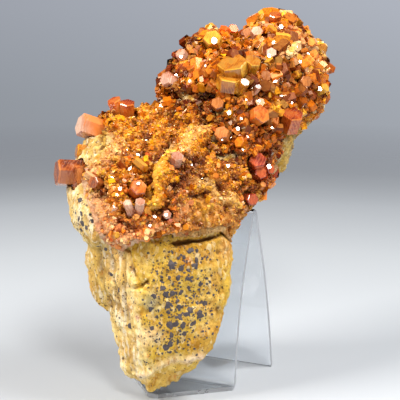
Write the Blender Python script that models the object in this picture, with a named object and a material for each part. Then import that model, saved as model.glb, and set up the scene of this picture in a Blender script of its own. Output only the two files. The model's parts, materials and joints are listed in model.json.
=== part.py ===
"""Vanadinite on matrix, standing in a small easel bent from clear sheet.

World frame: metres, +Z up, floor at z = 0. The easel faces -Y and its width
runs along X. Numbers in the tables below are millimetres.

The stone is laid out in a frame of its own, (x across, z up, y back), whose
middle plane y = 0 carries the outline. The outline flares with depth from an
apex FLARE in front of the middle plane, so a feature keeps its place on the
outline whatever its depth. place() then tips the stone back, turns it and
stands it in the easel.
"""

import math

import bmesh
import bpy
import numpy as np
from mathutils import Matrix, Vector, noise
from mathutils.bvhtree import BVHTree

MM = 0.001

# ---------------------------------------------------------------- easel
EASEL_WIDTH = 36.0
EASEL_X = -0.95  # its middle
EASEL_Y = -10.65  # the middle of the front panel's thickness, at the floor
EASEL_DEPTH = 25.5  # front panel's foot to the rear leg's foot
EASEL_RISE = 53.2  # top of the fold
FRONT_LEAN, FRONT_BOW = 0.032, 0.0038  # the front panel leans back by LEAN * height + BOW * height^2
REAR_LEAN, REAR_BOW = 0.104, 0.0025  # and the rear leg leans forward in the same way
SHEET = 1.2  # thickness of the clear sheet
LIP_REACH = 18.8  # the triangular lip's point, in front of the panel
LIP_POINT = 3.0  # width left at the lip's blunt point
BEND_R = 1.9  # middle radius of the bend between panel and lip
FOLD_R = 1.0  # height of the fold above the two legs

# ---------------------------------------------------------------- stone
FLARE = 480.0
STONE_TIP = math.radians(-11.8)  # leans back about X
STONE_TURN = math.radians(28.0)  # then turned about Z
STONE_AT = (4.45, -9.65, 57.0)  # where the stone's own origin comes to stand

VOXEL = 1.0  # grid of the merged stone
SWELL = 0.75  # puts back what the softening takes off the corners
CRUST = 3.4  # depth of the crystal crust below the outline
CRUST_STEPS = 4  # taken off in this many passes, so that thin parts don't turn inside out
GAP = 0.35  # clearance between neighbouring solids
MATRIX_TRIANGLES = 3000
CRUST_TRIANGLES = 2400  # of the whole closed crust blank, before it is cut

# Convex chunks, (x, z, y): the stone is their union.
CHUNKS = {
    "foot": [
        (-35, -8, -8), (-22, -8, -21), (-16, -8, -21), (9, -8, -11), (10, -8, -1), (-8, -8, 8), (-30, -8, 13),
        (-26.6, -30, -9), (-20.5, -30, -20), (-16.5, -30, -21.5), (7.6, -29, -12), (8.2, -25, -5), (7.2, -33, -6), (-8, -30, 4), (-24, -30, 7),
        (-24.8, -44, -7), (-19, -44, -16), (-15, -44, -17), (4, -43, -10), (3, -44, -5), (-8, -44, 0), (-20, -44, 3),
        (-22.2, -52.6, -6), (-17, -54.5, -10), (-2.6, -49.8, -9), (-3.4, -52, -4), (-14, -54, -1),
        (-18.8, -14, -22.5), (-16.5, -20, -22.3), (8, -13, -14.5), (-22, -22, -17), (-20, -38, -17.5), (6, -38, -11),
    ],
    "toe": [
        (-20.4, -51, -7), (-16.6, -55, -10), (-14.5, -57.6, -7), (-12.5, -57.6, -5), (-8.6, -54.6, -7), (-4.4, -50, -9),
        (-5, -52, -4), (-12, -50, -13.5), (-18, -50, -12.5), (-14, -54, -2), (-9, -48, -12),
    ],
    "heel": [
        (-34.0, -12, 2), (-33.9, -20, 4), (-33.4, -26, 5), (-30.6, -31, 5), (-26, -35, 2), (-26, -12, -6), (-24, -22, -6),
        (-22, -36, 3), (-30, -14, 15), (-30, -24, 15), (-24, -30, 12), (-22, -12, 14),
    ],
    "cheek": [
        (-39.6, 0, -4), (-39.4, 5, -3), (-38, -8, -5), (-36.2, 12, -3), (-33.6, 20, 2), (-34.5, -12, -8),
        (-33, 8, -16), (-33, -4, -19), (-31.5, -10, -17), (-27, 12, -14), (-26, 0, -22), (-27, -14, -18), (-30, 20, 0),
        (-36, 0, 8), (-34, 14, 10),
    ],
    "head": [
        (-32.4, 21.5, 6), (-31.5, -11, -19), (-29.5, -13, -21), (-24, -14.2, -26), (-18, -13.6, -27), (-12, -10.6, -26), (-6.5, -5.5, -23), (0, -3, -20),
        (-31, 4, -19), (-24, 2, -25.5), (-15, 1, -26), (-8, 4, -22), (-24, 12, -18), (-12, 12, -16), (0, 10, -15),
        (-34, 10, 8), (-30, 22.5, 12), (-26, 27, 10), (-22, 28.8, 11), (-15, 26, 18), (0, 24, 20), (-6, 0, 10), (-20, -5, 14), (-34, -8, 10),
        (-26.5, 26.5, 5), (-18, 26.5, 4), (-8, 25, 3), (0, 20, 0),
    ],
    "flank": [
        (-14, 5, -22), (-9, 13, -14), (0, 19, -8), (12, 22, -4),
        (-10, -9.5, -24.5), (-4, -10.8, -22), (5, -10.4, -18.5), (9.4, -10.5, -14), (12, -8, -9.5),
        (15, -3.5, -5), (18.6, 0.5, -1), (20.6, 4, 2), (22.6, 8, 8),
        (3, 3, -18), (10, 9, -12), (15, 4, -9.5), (12, -6, -4),
        (19, 3, 7), (8, 3, 11), (-6, 4, 13), (23, 12, 16), (0, 20, 18),
    ],
    "nose": [
        (-2.4, 16.4, -17), (-7.5, 15.4, -20.5), (-12.0, 11, -24), (-13.4, 6, -26.5), (-13.4, 1, -28.2), (-12, -1.4, -28),
        (-7.5, -1.6, -26.5), (-4, 1.5, -25), (-3, 9, -22.5), (-6, 6, -25.5), (-5, 4, -12), (-10, 4, -14), (-4, 12, -10),
    ],
    "crest_left": [
        (-14.2, 31.4, 7), (-12.6, 34.5, 8), (-10.0, 39.3, 10), (-6.6, 44.1, 13), (-3.8, 48.6, 15), (-0.3, 51.2, 17), (3.9, 53.5, 18), (6.8, 53.2, 19), (9, 51, 19), (11, 48, 18),
        (-9, 27, -1), (-2, 31, -2), (7, 35, 0), (-5, 39, 4), (2, 46, 8), (8, 44, 8), (9, 29, -4), (14, 34, 0),
        (-13, 31, 18), (-7, 41, 24), (2, 49, 28), (11, 46, 29), (0, 30, 27), (12, 30, 31),
    ],
    "crest_right": [
        (12, 48, 19), (14, 51.8, 20), (17.5, 55.2, 22), (22.3, 56.9, 24), (27.0, 56.0, 24), (31.2, 52.6, 23), (33.6, 50.2, 21),
        (37.4, 46.6, 19), (38.2, 42, 17), (38.7, 36, 16), (39.0, 31, 16), (37.6, 27, 15), (35.4, 24.6, 15), (30, 20.6, 13), (25.5, 18.6, 10),
        (17, 49, 11), (24, 50, 9), (31, 44, 7), (36, 38, 9), (36, 30, 9), (26, 40, 2), (19, 30, -4), (27, 26, 2), (13, 40, 1), (32, 24.5, 8),
        (16, 50, 33), (24, 53.5, 35), (32, 48, 34), (37, 37, 32), (36, 28, 30), (28, 19, 28), (14, 30, 36), (20, 22, 34),
    ],
    "shelf": [
        (4, 42.5, -3), (14, 41, -5), (17, 36, -7), (14, 31, -8), (6, 31, -7), (3, 37, -5), (16, 44, 4), (18, 31, 2), (2, 30, 2), (2, 44, 6),
    ],
    "neck": [
        (-14, 28, 5), (0, 28, -3), (13, 27, -7), (24, 20, 1), (25, 12, 6), (13, 14, -10), (0, 16, -7), (-10, 21, 0), (20, 11, -3), (18, 24, -6), (18, 29, -6), (24, 24, -2), (10, 29, -8), (28, 22, 4),
        (-12, 24, 20), (8, 24, 28), (26, 14, 24), (24, 8, 16), (0, 4, 14),
    ],
    "spine": [
        (-8, 27, 24), (4, 33, 30), (16, 33, 36), (25, 24, 36), (25, 13, 27), (10, 10, 20), (-8, 18, 16), (0, 34, 12), (16, 34, 14), (22, 16, 14), (-10, 27, 12),
    ],
    "back_knob": [
        (28.8, 18, 26), (28.2, 14.4, 26), (26, 11, 24), (22, 7.6, 18), (18, 6, 16), (20, 16, 30), (26, 20, 33), (14, 10, 26),
    ],
}

# The crust covers the front of the stone inside this outline (x, z) ...
CRUST_EDGE = [
    (-29.5, -13.2), (-32.0, -8.5), (-33.8, -1.0), (-35.4, 5.0), (-36.6, 9.5), (-32.5, 13.0), (-29.0, 16.0), (-28.0, 20.0), (-33.5, 21.5), (-42, 26),
    (-42, 70), (60, 70), (60, 21), (31, 20.6), (26.5, 19.5), (25.4, 14.0), (23.6, 8.6), (30, 2), (30, -12), (11.4, -13.6), (9.0, -13.0),
    (6.6, -9.9), (0.5, -11.2), (-5.8, -11.6), (-10.4, -10.4), (-14.6, -12.0), (-20.5, -14.0), (-24.5, -15.2),
]
# ... as far back as this: depth = BACK_AT + BACK_SLOPE * z.
BACK_AT, BACK_SLOPE = 8.5, 0.36

# Single crystals. A crystal is a hexagonal prism:
# name: (x, z of its middle on the outline plane, axis (x, z, y), radius to a corner, stands out, sits in, spin degrees, bevelled edge[, seat moved back])
CRYSTALS = {
    "crystal_left_large": [(-35.2, 8.1, (-0.94, 0.03, -0.30), 4.2, 8.6, 4.0, 8, 0.45, 8.5), (-35.0, 7.2, (-0.92, -0.02, -0.32), 4.3, 4.0, 3.6, 33, 0.35, 8.5)],
    "crystal_left_small": [(-33.9, 14.3, (-0.90, 0.14, -0.26), 2.3, 3.8, 3.0, 12, 0.3, 6.5)],
    "crystal_left_pale": [(-32.0, 21.4, (-0.80, 0.26, -0.42), 3.6, 4.6, 3.0, 20, 0.35)],
    "crystals_brow": [(-24.6, 27.0, (-0.34, 0.80, -0.48), 2.3, 3.7, 3.0, 5, 0.3), (-21.8, 26.5, (0.02, 0.86, -0.50), 2.4, 3.2, 3.0, 25, 0.3)],
    "crystal_cheek_brown": [(-31.2, 5.0, (-0.45, 0.18, -0.85), 1.8, 1.9, 2.0, 0, 0.25)],
    "crystal_head_ochre": [(-18.0, 10.6, (0.62, -0.50, -0.60), 1.35, 2.6, 1.8, 15, 0.2)],
    "crystal_head_orange": [(-18.8, 3.2, (0.25, 0.30, -0.92), 2.5, 2.2, 2.0, 10, 0.3)],
    "crystals_head_pale": [(-21.2, -2.6, (-0.20, 0.62, -0.74), 1.35, 2.8, 2.0, 0, 0.2), (-18.2, -2.3, (0.12, 0.60, -0.78), 1.5, 3.0, 2.0, 22, 0.2)],
    "crystal_nose_pink": [(-7.0, 12.2, (0.15, 0.62, -0.76), 1.9, 1.7, 2.0, 8, 0.25)],
    "crystal_rim_white": [(-10.0, -4.3, (0.10, -0.05, -0.99), 1.3, 1.8, 2.0, 14, 0.2)],
    "crystal_crest_pink": [(-8.8, 35.6, (-0.55, 0.30, -0.78), 2.4, 2.7, 2.0, 18, 0.3)],
    "crystal_crest_rose": [(-4.8, 42.7, (-0.50, 0.55, -0.66), 1.8, 2.5, 2.0, 0, 0.25)],
    "crystal_crest_orange": [(3.9, 47.4, (-0.10, 0.45, -0.88), 3.0, 2.6, 2.0, 10, 0.35)],
    "crystal_hollow_brown": [(5.4, 28.6, (-0.10, 0.20, -0.97), 2.0, 1.8, 2.0, 20, 0.25)],
    "plates_amber": [
        (9.9, 40.2, (-0.16, 0.80, -0.58), 4.7, 1.4, 2.4, 12, 0.3), (9.0, 35.6, (0.10, 0.88, -0.46), 4.1, 1.6, 2.4, 38, 0.3), (15.4, 40.6, (0.30, 0.66, -0.69), 2.6, 1.9, 2.0, 4, 0.2),
        (12.4, 33.4, (0.30, 0.52, -0.80), 1.6, 3.4, 2.0, 10, 0.2),
    ],
    "crystal_white_short": [(16.6, 32.8, (0.35, 0.55, -0.76), 1.1, 2.2, 1.8, 0, 0.15)],
    "crystal_grey": [(19.6, 37.0, (0.05, 0.10, -0.99), 1.8, 1.6, 2.0, 12, 0.2)],
    "crystal_beige": [(21.2, 43.6, (0.10, 0.34, -0.93), 1.7, 1.8, 2.0, 28, 0.2)],
    "crystal_top_pink": [(17.1, 49.8, (-0.05, 0.48, -0.87), 2.0, 1.8, 2.0, 6, 0.25)],
    "crystal_top_red": [(22.6, 54.2, (0.00, 0.82, -0.57), 2.1, 1.8, 2.0, 20, 0.25)],
    "crystal_right_brown": [(31.4, 35.4, (0.28, 0.05, -0.95), 1.9, 1.7, 2.0, 0, 0.25)],
    "crystal_right_edge": [(36.0, 32.8, (0.66, 0.34, -0.66), 1.6, 2.6, 2.0, 15, 0.2)],
    "crystal_right_block": [(27.0, 23.4, (0.22, 0.72, -0.66), 3.5, 3.6, 2.4, 8, 0.35)],
    "plate_red": [(17.7, 25.4, (0.55, 0.30, -0.78), 3.1, 1.5, 2.2, 25, 0.25)],
    "crystal_waist_orange": [(6.8, 19.4, (-0.20, 0.42, -0.88), 2.3, 2.0, 2.0, 16, 0.25)],
    "crystals_ruby": [
        (17.0, 11.4, (0.15, 0.40, -0.90), 2.7, 2.0, 2.2, 10, 0.3), (19.4, 9.0, (0.55, 0.05, -0.83), 1.5, 3.4, 2.4, 0, 0.2), (17.4, 7.9, (0.40, 0.12, -0.91), 2.0, 2.4, 2.2, 22, 0.25),
    ],
    "crystal_ledge_red": [(15.1, 0.2, (0.40, -0.06, -0.90), 1.9, 1.9, 2.0, 5, 0.25)],
}

# colour, roughness, metallic
LOOKS = {
    "matrix": ((0.62, 0.42, 0.13), 0.85, 0.0),
    "druse": ((0.47, 0.19, 0.03), 0.35, 0.0),
    "easel": ((0.90, 0.93, 0.96), 0.05, 0.0),
    "amber": ((0.52, 0.20, 0.03), 0.2, 0.0),
    "red": ((0.42, 0.07, 0.02), 0.2, 0.0),
    "pale": ((0.78, 0.52, 0.42), 0.3, 0.0),
    "brown": ((0.25, 0.09, 0.04), 0.25, 0.0),
}
COLOUR_OF = {
    "pale": ["crystal_left_pale", "crystals_head_pale", "crystal_nose_pink", "crystal_rim_white", "crystal_crest_pink", "crystal_crest_rose", "crystal_white_short", "crystal_beige", "crystal_top_pink"],
    "red": ["crystal_right_block", "crystals_brow", "plate_red", "crystals_ruby", "crystal_ledge_red", "crystal_top_red", "crystal_head_orange"],
    "brown": ["crystal_left_large", "crystal_waist_orange", "crystal_hollow_brown", "crystal_grey", "crystal_right_brown", "crystal_cheek_brown"],
}


def clear():
    for o in list(bpy.data.objects):
        bpy.data.objects.remove(o)


def material(look):
    m = bpy.data.materials.get(look)
    if m is None:
        colour, rough, metal = LOOKS[look]
        m = bpy.data.materials.new(look)
        m.use_nodes = True
        shader = m.node_tree.nodes["Principled BSDF"]
        shader.inputs["Base Color"].default_value = (*colour, 1)
        shader.inputs["Roughness"].default_value = rough
        shader.inputs["Metallic"].default_value = metal
        m.diffuse_color = (*colour, 1)
        if look == "easel":
            shader.inputs["Transmission Weight"].default_value = 1.0
            shader.inputs["IOR"].default_value = 1.49
    return m


def new_object(name, mesh, look=None, helper=False):
    o = bpy.data.objects.new(name, mesh)
    bpy.context.scene.collection.objects.link(o)
    if look:
        mesh.materials.clear()
        mesh.materials.append(material(look))
    if helper:
        o.hide_render = True
        o.display_type = "WIRE"
    return o


def mesh_of(name, bm):
    bmesh.ops.recalc_face_normals(bm, faces=bm.faces)
    me = bpy.data.meshes.new(name)
    bm.to_mesh(me)
    bm.free()
    return me


def evaluated(o, name):
    """The object's mesh with its modifiers applied; the object itself goes."""
    graph = bpy.context.evaluated_depsgraph_get()
    me = bpy.data.meshes.new_from_object(o.evaluated_get(graph), depsgraph=graph)
    me.name = name
    bpy.data.objects.remove(o)
    return me


def at(x, z, y):
    """A point of the stone's own frame, from its place on the middle plane and its depth."""
    s = 1 + y / FLARE
    return Vector((x * s, y, z * s)) * MM


def place():
    """From the stone's own frame to the world."""
    return Matrix.Translation(Vector(STONE_AT) * MM) @ Matrix.Rotation(STONE_TURN, 4, "Z") @ Matrix.Rotation(STONE_TIP, 4, "X")


# ---------------------------------------------------------------- stone and crust
def voxel_merge(me, size, smooth, factor=0.5):
    o = new_object("merging", me)
    m = o.modifiers.new("merge", "REMESH")
    m.mode = "VOXEL"
    m.voxel_size = size * MM
    if smooth:
        s = o.modifiers.new("soften", "SMOOTH")
        s.factor = factor
        s.iterations = smooth
    return evaluated(o, me.name)


def thinned(me, triangles):
    o = new_object("thinning", me)
    t = o.modifiers.new("triangles", "TRIANGULATE")
    t.min_vertices = 4
    d = o.modifiers.new("thin", "DECIMATE")
    d.ratio = min(1.0, triangles / (2 * len(me.polygons)))
    return evaluated(o, me.name)


def envelope():
    """The whole stone with its crust: every chunk merged, softened and roughened."""
    bm = bmesh.new()
    for pts in CHUNKS.values():
        vs = [bm.verts.new(at(*p)) for p in pts]
        hull = bmesh.ops.convex_hull(bm, input=vs)
        loose = {g for k in ("geom_interior", "geom_unused") for g in hull[k] if isinstance(g, bmesh.types.BMVert)}
        bmesh.ops.delete(bm, geom=list(loose), context="VERTS")
    me = voxel_merge(mesh_of("stone", bm), VOXEL, 5)
    push(me, lambda p, n: SWELL + 0.9 * noise.noise(p / 9.0) + 0.6 * noise.noise(p / 4.2 + Vector((7, 3, 1))))
    return voxel_merge(me, VOXEL, 1)


def push(me, amount):
    """Moves each vertex along its normal by amount(place, normal) millimetres."""
    moves = [v.normal * amount(v.co / MM, v.normal) * MM for v in me.vertices]
    for v, d in zip(me.vertices, moves):
        v.co += d


def edge_distance(x, z):
    """Signed distance to the crust's outline, positive inside it."""
    best, inside = 1e9, False
    n = len(CRUST_EDGE)
    for i in range(n):
        (x0, z0), (x1, z1) = CRUST_EDGE[i], CRUST_EDGE[(i + 1) % n]
        dx, dz = x1 - x0, z1 - z0
        t = max(0.0, min(1.0, ((x - x0) * dx + (z - z0) * dz) / (dx * dx + dz * dz)))
        best = min(best, math.hypot(x - x0 - t * dx, z - z0 - t * dz))
        if (z0 > z) != (z1 > z) and x < x0 + (z - z0) * dx / dz:
            inside = not inside
    return best if inside else -best


def crusted(p):
    """Positive where the crust covers the stone: how far inside its edge, in millimetres."""
    s = 1 + p.y / FLARE
    x, z = p.x / s, p.z / s
    wander = 1.1 * noise.noise(p / 6.0 + Vector((31, 5, 9)))
    return min(edge_distance(x, z), BACK_AT + BACK_SLOPE * z - p.y) + wander


def step(value, width):
    return max(0.0, min(1.0, 0.5 + value / width))


def keep_largest(me):
    """Drops any crumb that a cut has left loose."""
    bm = bmesh.new()
    bm.from_mesh(me)
    left = set(bm.verts)
    pieces = []
    while left:
        todo = [left.pop()]
        piece = set(todo)
        while todo:
            for e in todo.pop().link_edges:
                for v in e.verts:
                    if v not in piece:
                        piece.add(v)
                        todo.append(v)
        left -= piece
        pieces.append(piece)
    pieces.sort(key=len)
    for piece in pieces[:-1]:
        bmesh.ops.delete(bm, geom=list(piece), context="VERTS")
    bm.to_mesh(me)
    bm.free()
    return me


def cut(me, cutters, name):
    """me minus every cutter mesh."""
    o = new_object(name, me)
    helpers = []
    for i, c in enumerate(cutters):
        h = new_object(f"cutter_{name}_{i}", c, helper=True)
        helpers.append(h)
        b = o.modifiers.new(f"cut_{i}", "BOOLEAN")
        b.operation = "DIFFERENCE"
        b.object = h
    out = evaluated(o, name)
    for h in helpers:
        bpy.data.objects.remove(h)
    return keep_largest(out)


def swollen(me, by):
    out = me.copy()
    push(out, lambda p, n: by)
    return out


# ---------------------------------------------------------------- crystals
def prism_frame(axis, spin):
    a = Vector((axis[0], axis[2], axis[1])).normalized()
    side = a.cross(Vector((0, 0, 1)) if abs(a.z) < 0.9 else Vector((1, 0, 0))).normalized()
    side = Matrix.Rotation(math.radians(spin), 3, a) @ side
    return a, side, a.cross(side)


def prism(bm, seat, axis, radius, out, into, spin, edge, swell=0.0):
    """A hexagonal prism on the seat; its outer end is bevelled by edge. swell makes a socket cutter."""
    a, u, v = prism_frame(axis, spin)
    r = radius + swell * 1.2
    rings = [(-into - swell, r), (out + swell - (0 if swell else edge), r)]
    if not swell:
        rings.append((out, radius - edge))
    loops = []
    for h, rr in rings:
        loops.append([bm.verts.new(seat + (a * h + (u * math.cos(k * math.pi / 3) + v * math.sin(k * math.pi / 3)) * rr) * MM) for k in range(6)])
    for lo, hi in zip(loops[:-1], loops[1:]):
        for k in range(6):
            bm.faces.new((lo[k], lo[(k + 1) % 6], hi[(k + 1) % 6], hi[k]))
    bm.faces.new(loops[0][::-1])
    bm.faces.new(loops[-1])


def joined(meshes, name):
    """One closed solid from crystals that have grown into each other."""
    o = new_object(name, meshes[0])
    helpers = []
    for i, c in enumerate(meshes[1:]):
        h = new_object(f"{name}_{i}", c, helper=True)
        helpers.append(h)
        b = o.modifiers.new(f"grown_{i}", "BOOLEAN")
        b.operation = "UNION"
        b.object = h
    out = evaluated(o, name)
    for h in helpers:
        bpy.data.objects.remove(h)
    return out


def seat_on(tree, x, z):
    apex = Vector((0, -FLARE, 0)) * MM
    hit, normal, _, _ = tree.ray_cast(apex, (at(x, z, 0) - apex).normalized())
    if hit is None:
        raise ValueError(f"no stone at {x}, {z}")
    return hit, normal


def crystals(tree):
    """name: (solid, socket cutter)"""
    made = {}
    for name, rows in CRYSTALS.items():
        solids, sockets = [], []
        for x, z, axis, radius, out, into, spin, edge, *back in rows:
            seat, _ = seat_on(tree, x, z)
            seat = seat + Vector((0, sum(back), 0)) * MM
            for target, swell in ((solids, 0.0), (sockets, GAP)):
                bm = bmesh.new()
                prism(bm, seat, axis, radius, out, into, spin, edge, swell)
                target.append(mesh_of(name, bm))
        made[name] = (joined(solids, name), joined(sockets, name + "_socket"))
    return made


# ---------------------------------------------------------------- easel
def easel_path():
    """Middle line of the sheet, (y, z, half width) from the lip's point to the rear leg's foot."""
    half, t = EASEL_WIDTH / 2, SHEET / 2
    path = [(-LIP_REACH, t, LIP_POINT / 2), (-LIP_REACH + 0.9, t, LIP_POINT / 2 + 0.9)]
    path.append((-BEND_R, t, half))
    for k in range(1, 4):
        a = math.radians(90 * k / 4)
        path.append((-BEND_R + BEND_R * math.sin(a), t + BEND_R - BEND_R * math.cos(a), half))
    top = EASEL_RISE - t - FOLD_R
    steps = 9
    for k in range(1, steps + 1):
        z = t + BEND_R + (top - t - BEND_R) * k / steps
        path.append((FRONT_LEAN * z + FRONT_BOW * z * z, z, half))
    front, rear = FRONT_LEAN * top + FRONT_BOW * top * top, EASEL_DEPTH - REAR_LEAN * top - REAR_BOW * top * top
    middle, reach = (front + rear) / 2, (rear - front) / 2
    for k in range(1, 4):
        a = math.pi * (1 - k / 4)
        path.append((middle + reach * math.cos(a), top + FOLD_R * math.sin(a), half))
    for k in range(steps + 1):
        z = top * (1 - k / steps)
        path.append((EASEL_DEPTH - REAR_LEAN * z - REAR_BOW * z * z, z, half))
    return path


def easel_mesh(swell=0.0):
    """The sheet: its middle line thickened, cut square at the ends."""
    path = easel_path()
    t = SHEET / 2 + swell
    bm = bmesh.new()
    rings = []
    for i, (y, z, half) in enumerate(path):
        a, b = path[max(i - 1, 0)], path[min(i + 1, len(path) - 1)]
        d1 = Vector((0, y - a[0], z - a[1])) if i else Vector((0, b[0] - y, b[1] - z))
        d2 = Vector((0, b[0] - y, b[1] - z)) if i < len(path) - 1 else d1
        n1 = Vector((0, -d1.z, d1.y)).normalized()
        n2 = Vector((0, -d2.z, d2.y)).normalized()
        n = (n1 + n2).normalized()
        n = n / max(0.5, n.dot(n1))
        if i == len(path) - 1:  # the rear leg's foot is cut level with the floor
            n = Vector((0, 1, 0)) if n.y > 0 else Vector((0, -1, 0))
        c = Vector((EASEL_X, EASEL_Y + y, z))
        h = half + swell
        rings.append([bm.verts.new((c + Vector((sx * h, 0, 0)) + n * sn * t) * MM) for sx, sn in ((-1, 1), (1, 1), (1, -1), (-1, -1))])
    for lo, hi in zip(rings[:-1], rings[1:]):
        for k in range(4):
            bm.faces.new((lo[k], lo[(k + 1) % 4], hi[(k + 1) % 4], hi[k]))
    bm.faces.new(rings[0][::-1])
    bm.faces.new(rings[-1])
    return mesh_of("easel", bm)


# ---------------------------------------------------------------- main
def main():
    clear()
    whole = envelope()

    rock = whole.copy()
    for _ in range(CRUST_STEPS):
        push(rock, lambda p, n: -CRUST / CRUST_STEPS * step(crusted(p), 1.2))
        rock = voxel_merge(rock, VOXEL, 1)
    rock = thinned(rock, MATRIX_TRIANGLES)

    crust = whole.copy()
    for _ in range(CRUST_STEPS):
        push(crust, lambda p, n: (0.4 - 3.4 * (1 - step(crusted(p), 1.2))) / CRUST_STEPS)
        crust = voxel_merge(crust, VOXEL, 1)
    crust = thinned(crust, CRUST_TRIANGLES)

    bm = bmesh.new()
    bm.from_mesh(whole)
    tree = BVHTree.FromBMesh(bm)
    bm.free()
    single = crystals(tree)
    sockets = [s for _, s in single.values()]

    stand = easel_mesh()
    clearance = easel_mesh(GAP)
    clearance.transform(place().inverted())

    druse = cut(crust, [swollen(rock, GAP)] + sockets, "druse")
    matrix = cut(rock, sockets + [clearance], "matrix")

    pose = place()
    for name, me, look in [("matrix", matrix, "matrix"), ("druse", druse, "druse")]:
        me.transform(pose)
        new_object(name, me, look)
    for name, (solid, _) in single.items():
        solid.transform(pose)
        look = next((k for k, v in COLOUR_OF.items() if name in v), "amber")
        new_object(name, solid, look)
    new_object("display_easel", stand, "easel")


main()
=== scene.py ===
"""Looks of the vanadinite specimen and its clear easel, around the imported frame."""
import json
import math

import bmesh
import bpy
import numpy as np
from mathutils import Matrix, Vector, noise
from mathutils.bvhtree import BVHTree

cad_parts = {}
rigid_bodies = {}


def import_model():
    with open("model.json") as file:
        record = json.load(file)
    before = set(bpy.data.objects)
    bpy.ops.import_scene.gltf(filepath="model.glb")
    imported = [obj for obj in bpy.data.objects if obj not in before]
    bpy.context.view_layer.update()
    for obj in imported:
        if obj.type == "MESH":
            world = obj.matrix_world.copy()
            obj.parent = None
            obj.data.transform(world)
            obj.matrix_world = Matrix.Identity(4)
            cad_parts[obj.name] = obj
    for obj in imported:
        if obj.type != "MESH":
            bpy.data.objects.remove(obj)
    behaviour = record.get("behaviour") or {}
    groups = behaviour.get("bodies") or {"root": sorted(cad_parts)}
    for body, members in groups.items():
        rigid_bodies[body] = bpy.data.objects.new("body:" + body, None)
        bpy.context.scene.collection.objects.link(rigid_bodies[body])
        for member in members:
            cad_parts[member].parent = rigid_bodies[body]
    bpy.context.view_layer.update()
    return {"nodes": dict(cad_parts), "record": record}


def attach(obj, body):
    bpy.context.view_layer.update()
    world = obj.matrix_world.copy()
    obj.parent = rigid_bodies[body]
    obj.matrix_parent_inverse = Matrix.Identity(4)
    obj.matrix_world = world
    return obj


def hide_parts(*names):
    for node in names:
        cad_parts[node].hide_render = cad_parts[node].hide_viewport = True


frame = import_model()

MM = 0.001
NODES = frame["nodes"]
SCENE = bpy.context.scene

# The stone's own frame, as part.py lays it out: (x across, z up, y back) in
# millimetres, the outline flaring with depth from an apex FLARE in front.
FLARE = 480.0
PLACE = Matrix.Translation(Vector((4.45, -9.65, 57.0)) * MM) @ Matrix.Rotation(math.radians(28.0), 4, "Z") @ Matrix.Rotation(math.radians(-11.8), 4, "X")
PLACE_3 = PLACE.to_3x3()
UNPLACE = PLACE.inverted()

# studio lights, in the camera's own axes: right, away, up (metres from the stone)
LEFT_BOX = (-0.419, -0.279, 0.379)
RIGHT_BOX = (0.354, -0.180, 0.515)
FRONT_BOX = (0.100, -0.540, 0.360)


# ------------------------------------------------------------------ helpers
def px(u, v):
    """(x, z) on the stone's middle plane from a place in the 400 x 400 frame."""
    return (u - 200) * 0.3, (200 - v) * 0.3


def own(points):
    """World metres -> the stone's own frame, outline coordinates (x, z, y) in mm."""
    m = np.array(UNPLACE)
    p = (points @ m[:3, :3].T + m[:3, 3]) / MM
    s = 1 + p[:, 1] / FLARE
    return np.stack([p[:, 0] / s, p[:, 2] / s, p[:, 1]], 1)


def verts_of(me):
    a = np.empty(len(me.vertices) * 3, np.float32)
    me.vertices.foreach_get("co", a)
    return a.reshape(-1, 3).astype(np.float64)


def normals_of(me):
    a = np.empty(len(me.vertices) * 3, np.float32)
    me.vertices.foreach_get("normal", a)
    return a.reshape(-1, 3).astype(np.float64)


def set_verts(me, v):
    me.vertices.foreach_set("co", v.astype(np.float32).ravel())
    me.update()


def float_attribute(me, name, values):
    at = me.attributes.get(name) or me.attributes.new(name, "FLOAT", "POINT")
    at.data.foreach_set("value", np.asarray(values, np.float32))


def colour_attribute(me, name, rgb):
    at = me.attributes.get(name) or me.attributes.new(name, "FLOAT_COLOR", "POINT")
    c = np.ones((len(rgb), 4), np.float32)
    c[:, :3] = rgb
    at.data.foreach_set("color", c.ravel())


def fbm(points, scale, octaves=3, shift=(0, 0, 0)):
    """Fractal noise, about -1..1, read at points / scale."""
    out = np.empty(len(points))
    q = points / scale + np.array(shift)
    for i, p in enumerate(q.tolist()):
        out[i] = noise.fractal(p, 0.9, 2.0, octaves)
    return out


def cells(points, scale, shift=(0, 0, 0)):
    """Distance to the nearest and the second nearest cell point."""
    a = np.empty((len(points), 2))
    q = points / scale + np.array(shift)
    for i, p in enumerate(q.tolist()):
        d, _ = noise.voronoi(p)
        a[i] = d[0], d[1]
    return a


def smoothstep(x, lo, hi):
    t = np.clip((x - lo) / (hi - lo), 0, 1)
    return t * t * (3 - 2 * t)


def to_line(x, z, pts):
    """Distance from (x, z) to a polyline in outline coordinates."""
    best = np.full(len(x), 1e9)
    for (x0, z0), (x1, z1) in zip(pts[:-1], pts[1:]):
        dx, dz = x1 - x0, z1 - z0
        t = np.clip(((x - x0) * dx + (z - z0) * dz) / (dx * dx + dz * dz), 0, 1)
        best = np.minimum(best, np.hypot(x - x0 - t * dx, z - z0 - t * dz))
    return best


def new_object(name, me):
    o = bpy.data.objects.new(name, me)
    SCENE.collection.objects.link(o)
    return o


def remeshed(source, name, voxel, smooth):
    """A fine voxel copy of a CAD node's mesh, its facets smoothed away."""
    o = new_object(name, source.data.copy())
    m = o.modifiers.new("fine", "REMESH")
    m.mode = "VOXEL"
    m.voxel_size = voxel * MM
    s = o.modifiers.new("soften", "SMOOTH")
    s.factor = 0.6
    s.iterations = smooth
    graph = bpy.context.evaluated_depsgraph_get()
    me = bpy.data.meshes.new_from_object(o.evaluated_get(graph), depsgraph=graph)
    bpy.data.objects.remove(o)
    me.name = name
    me.materials.clear()
    me.shade_smooth()
    return me


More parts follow.
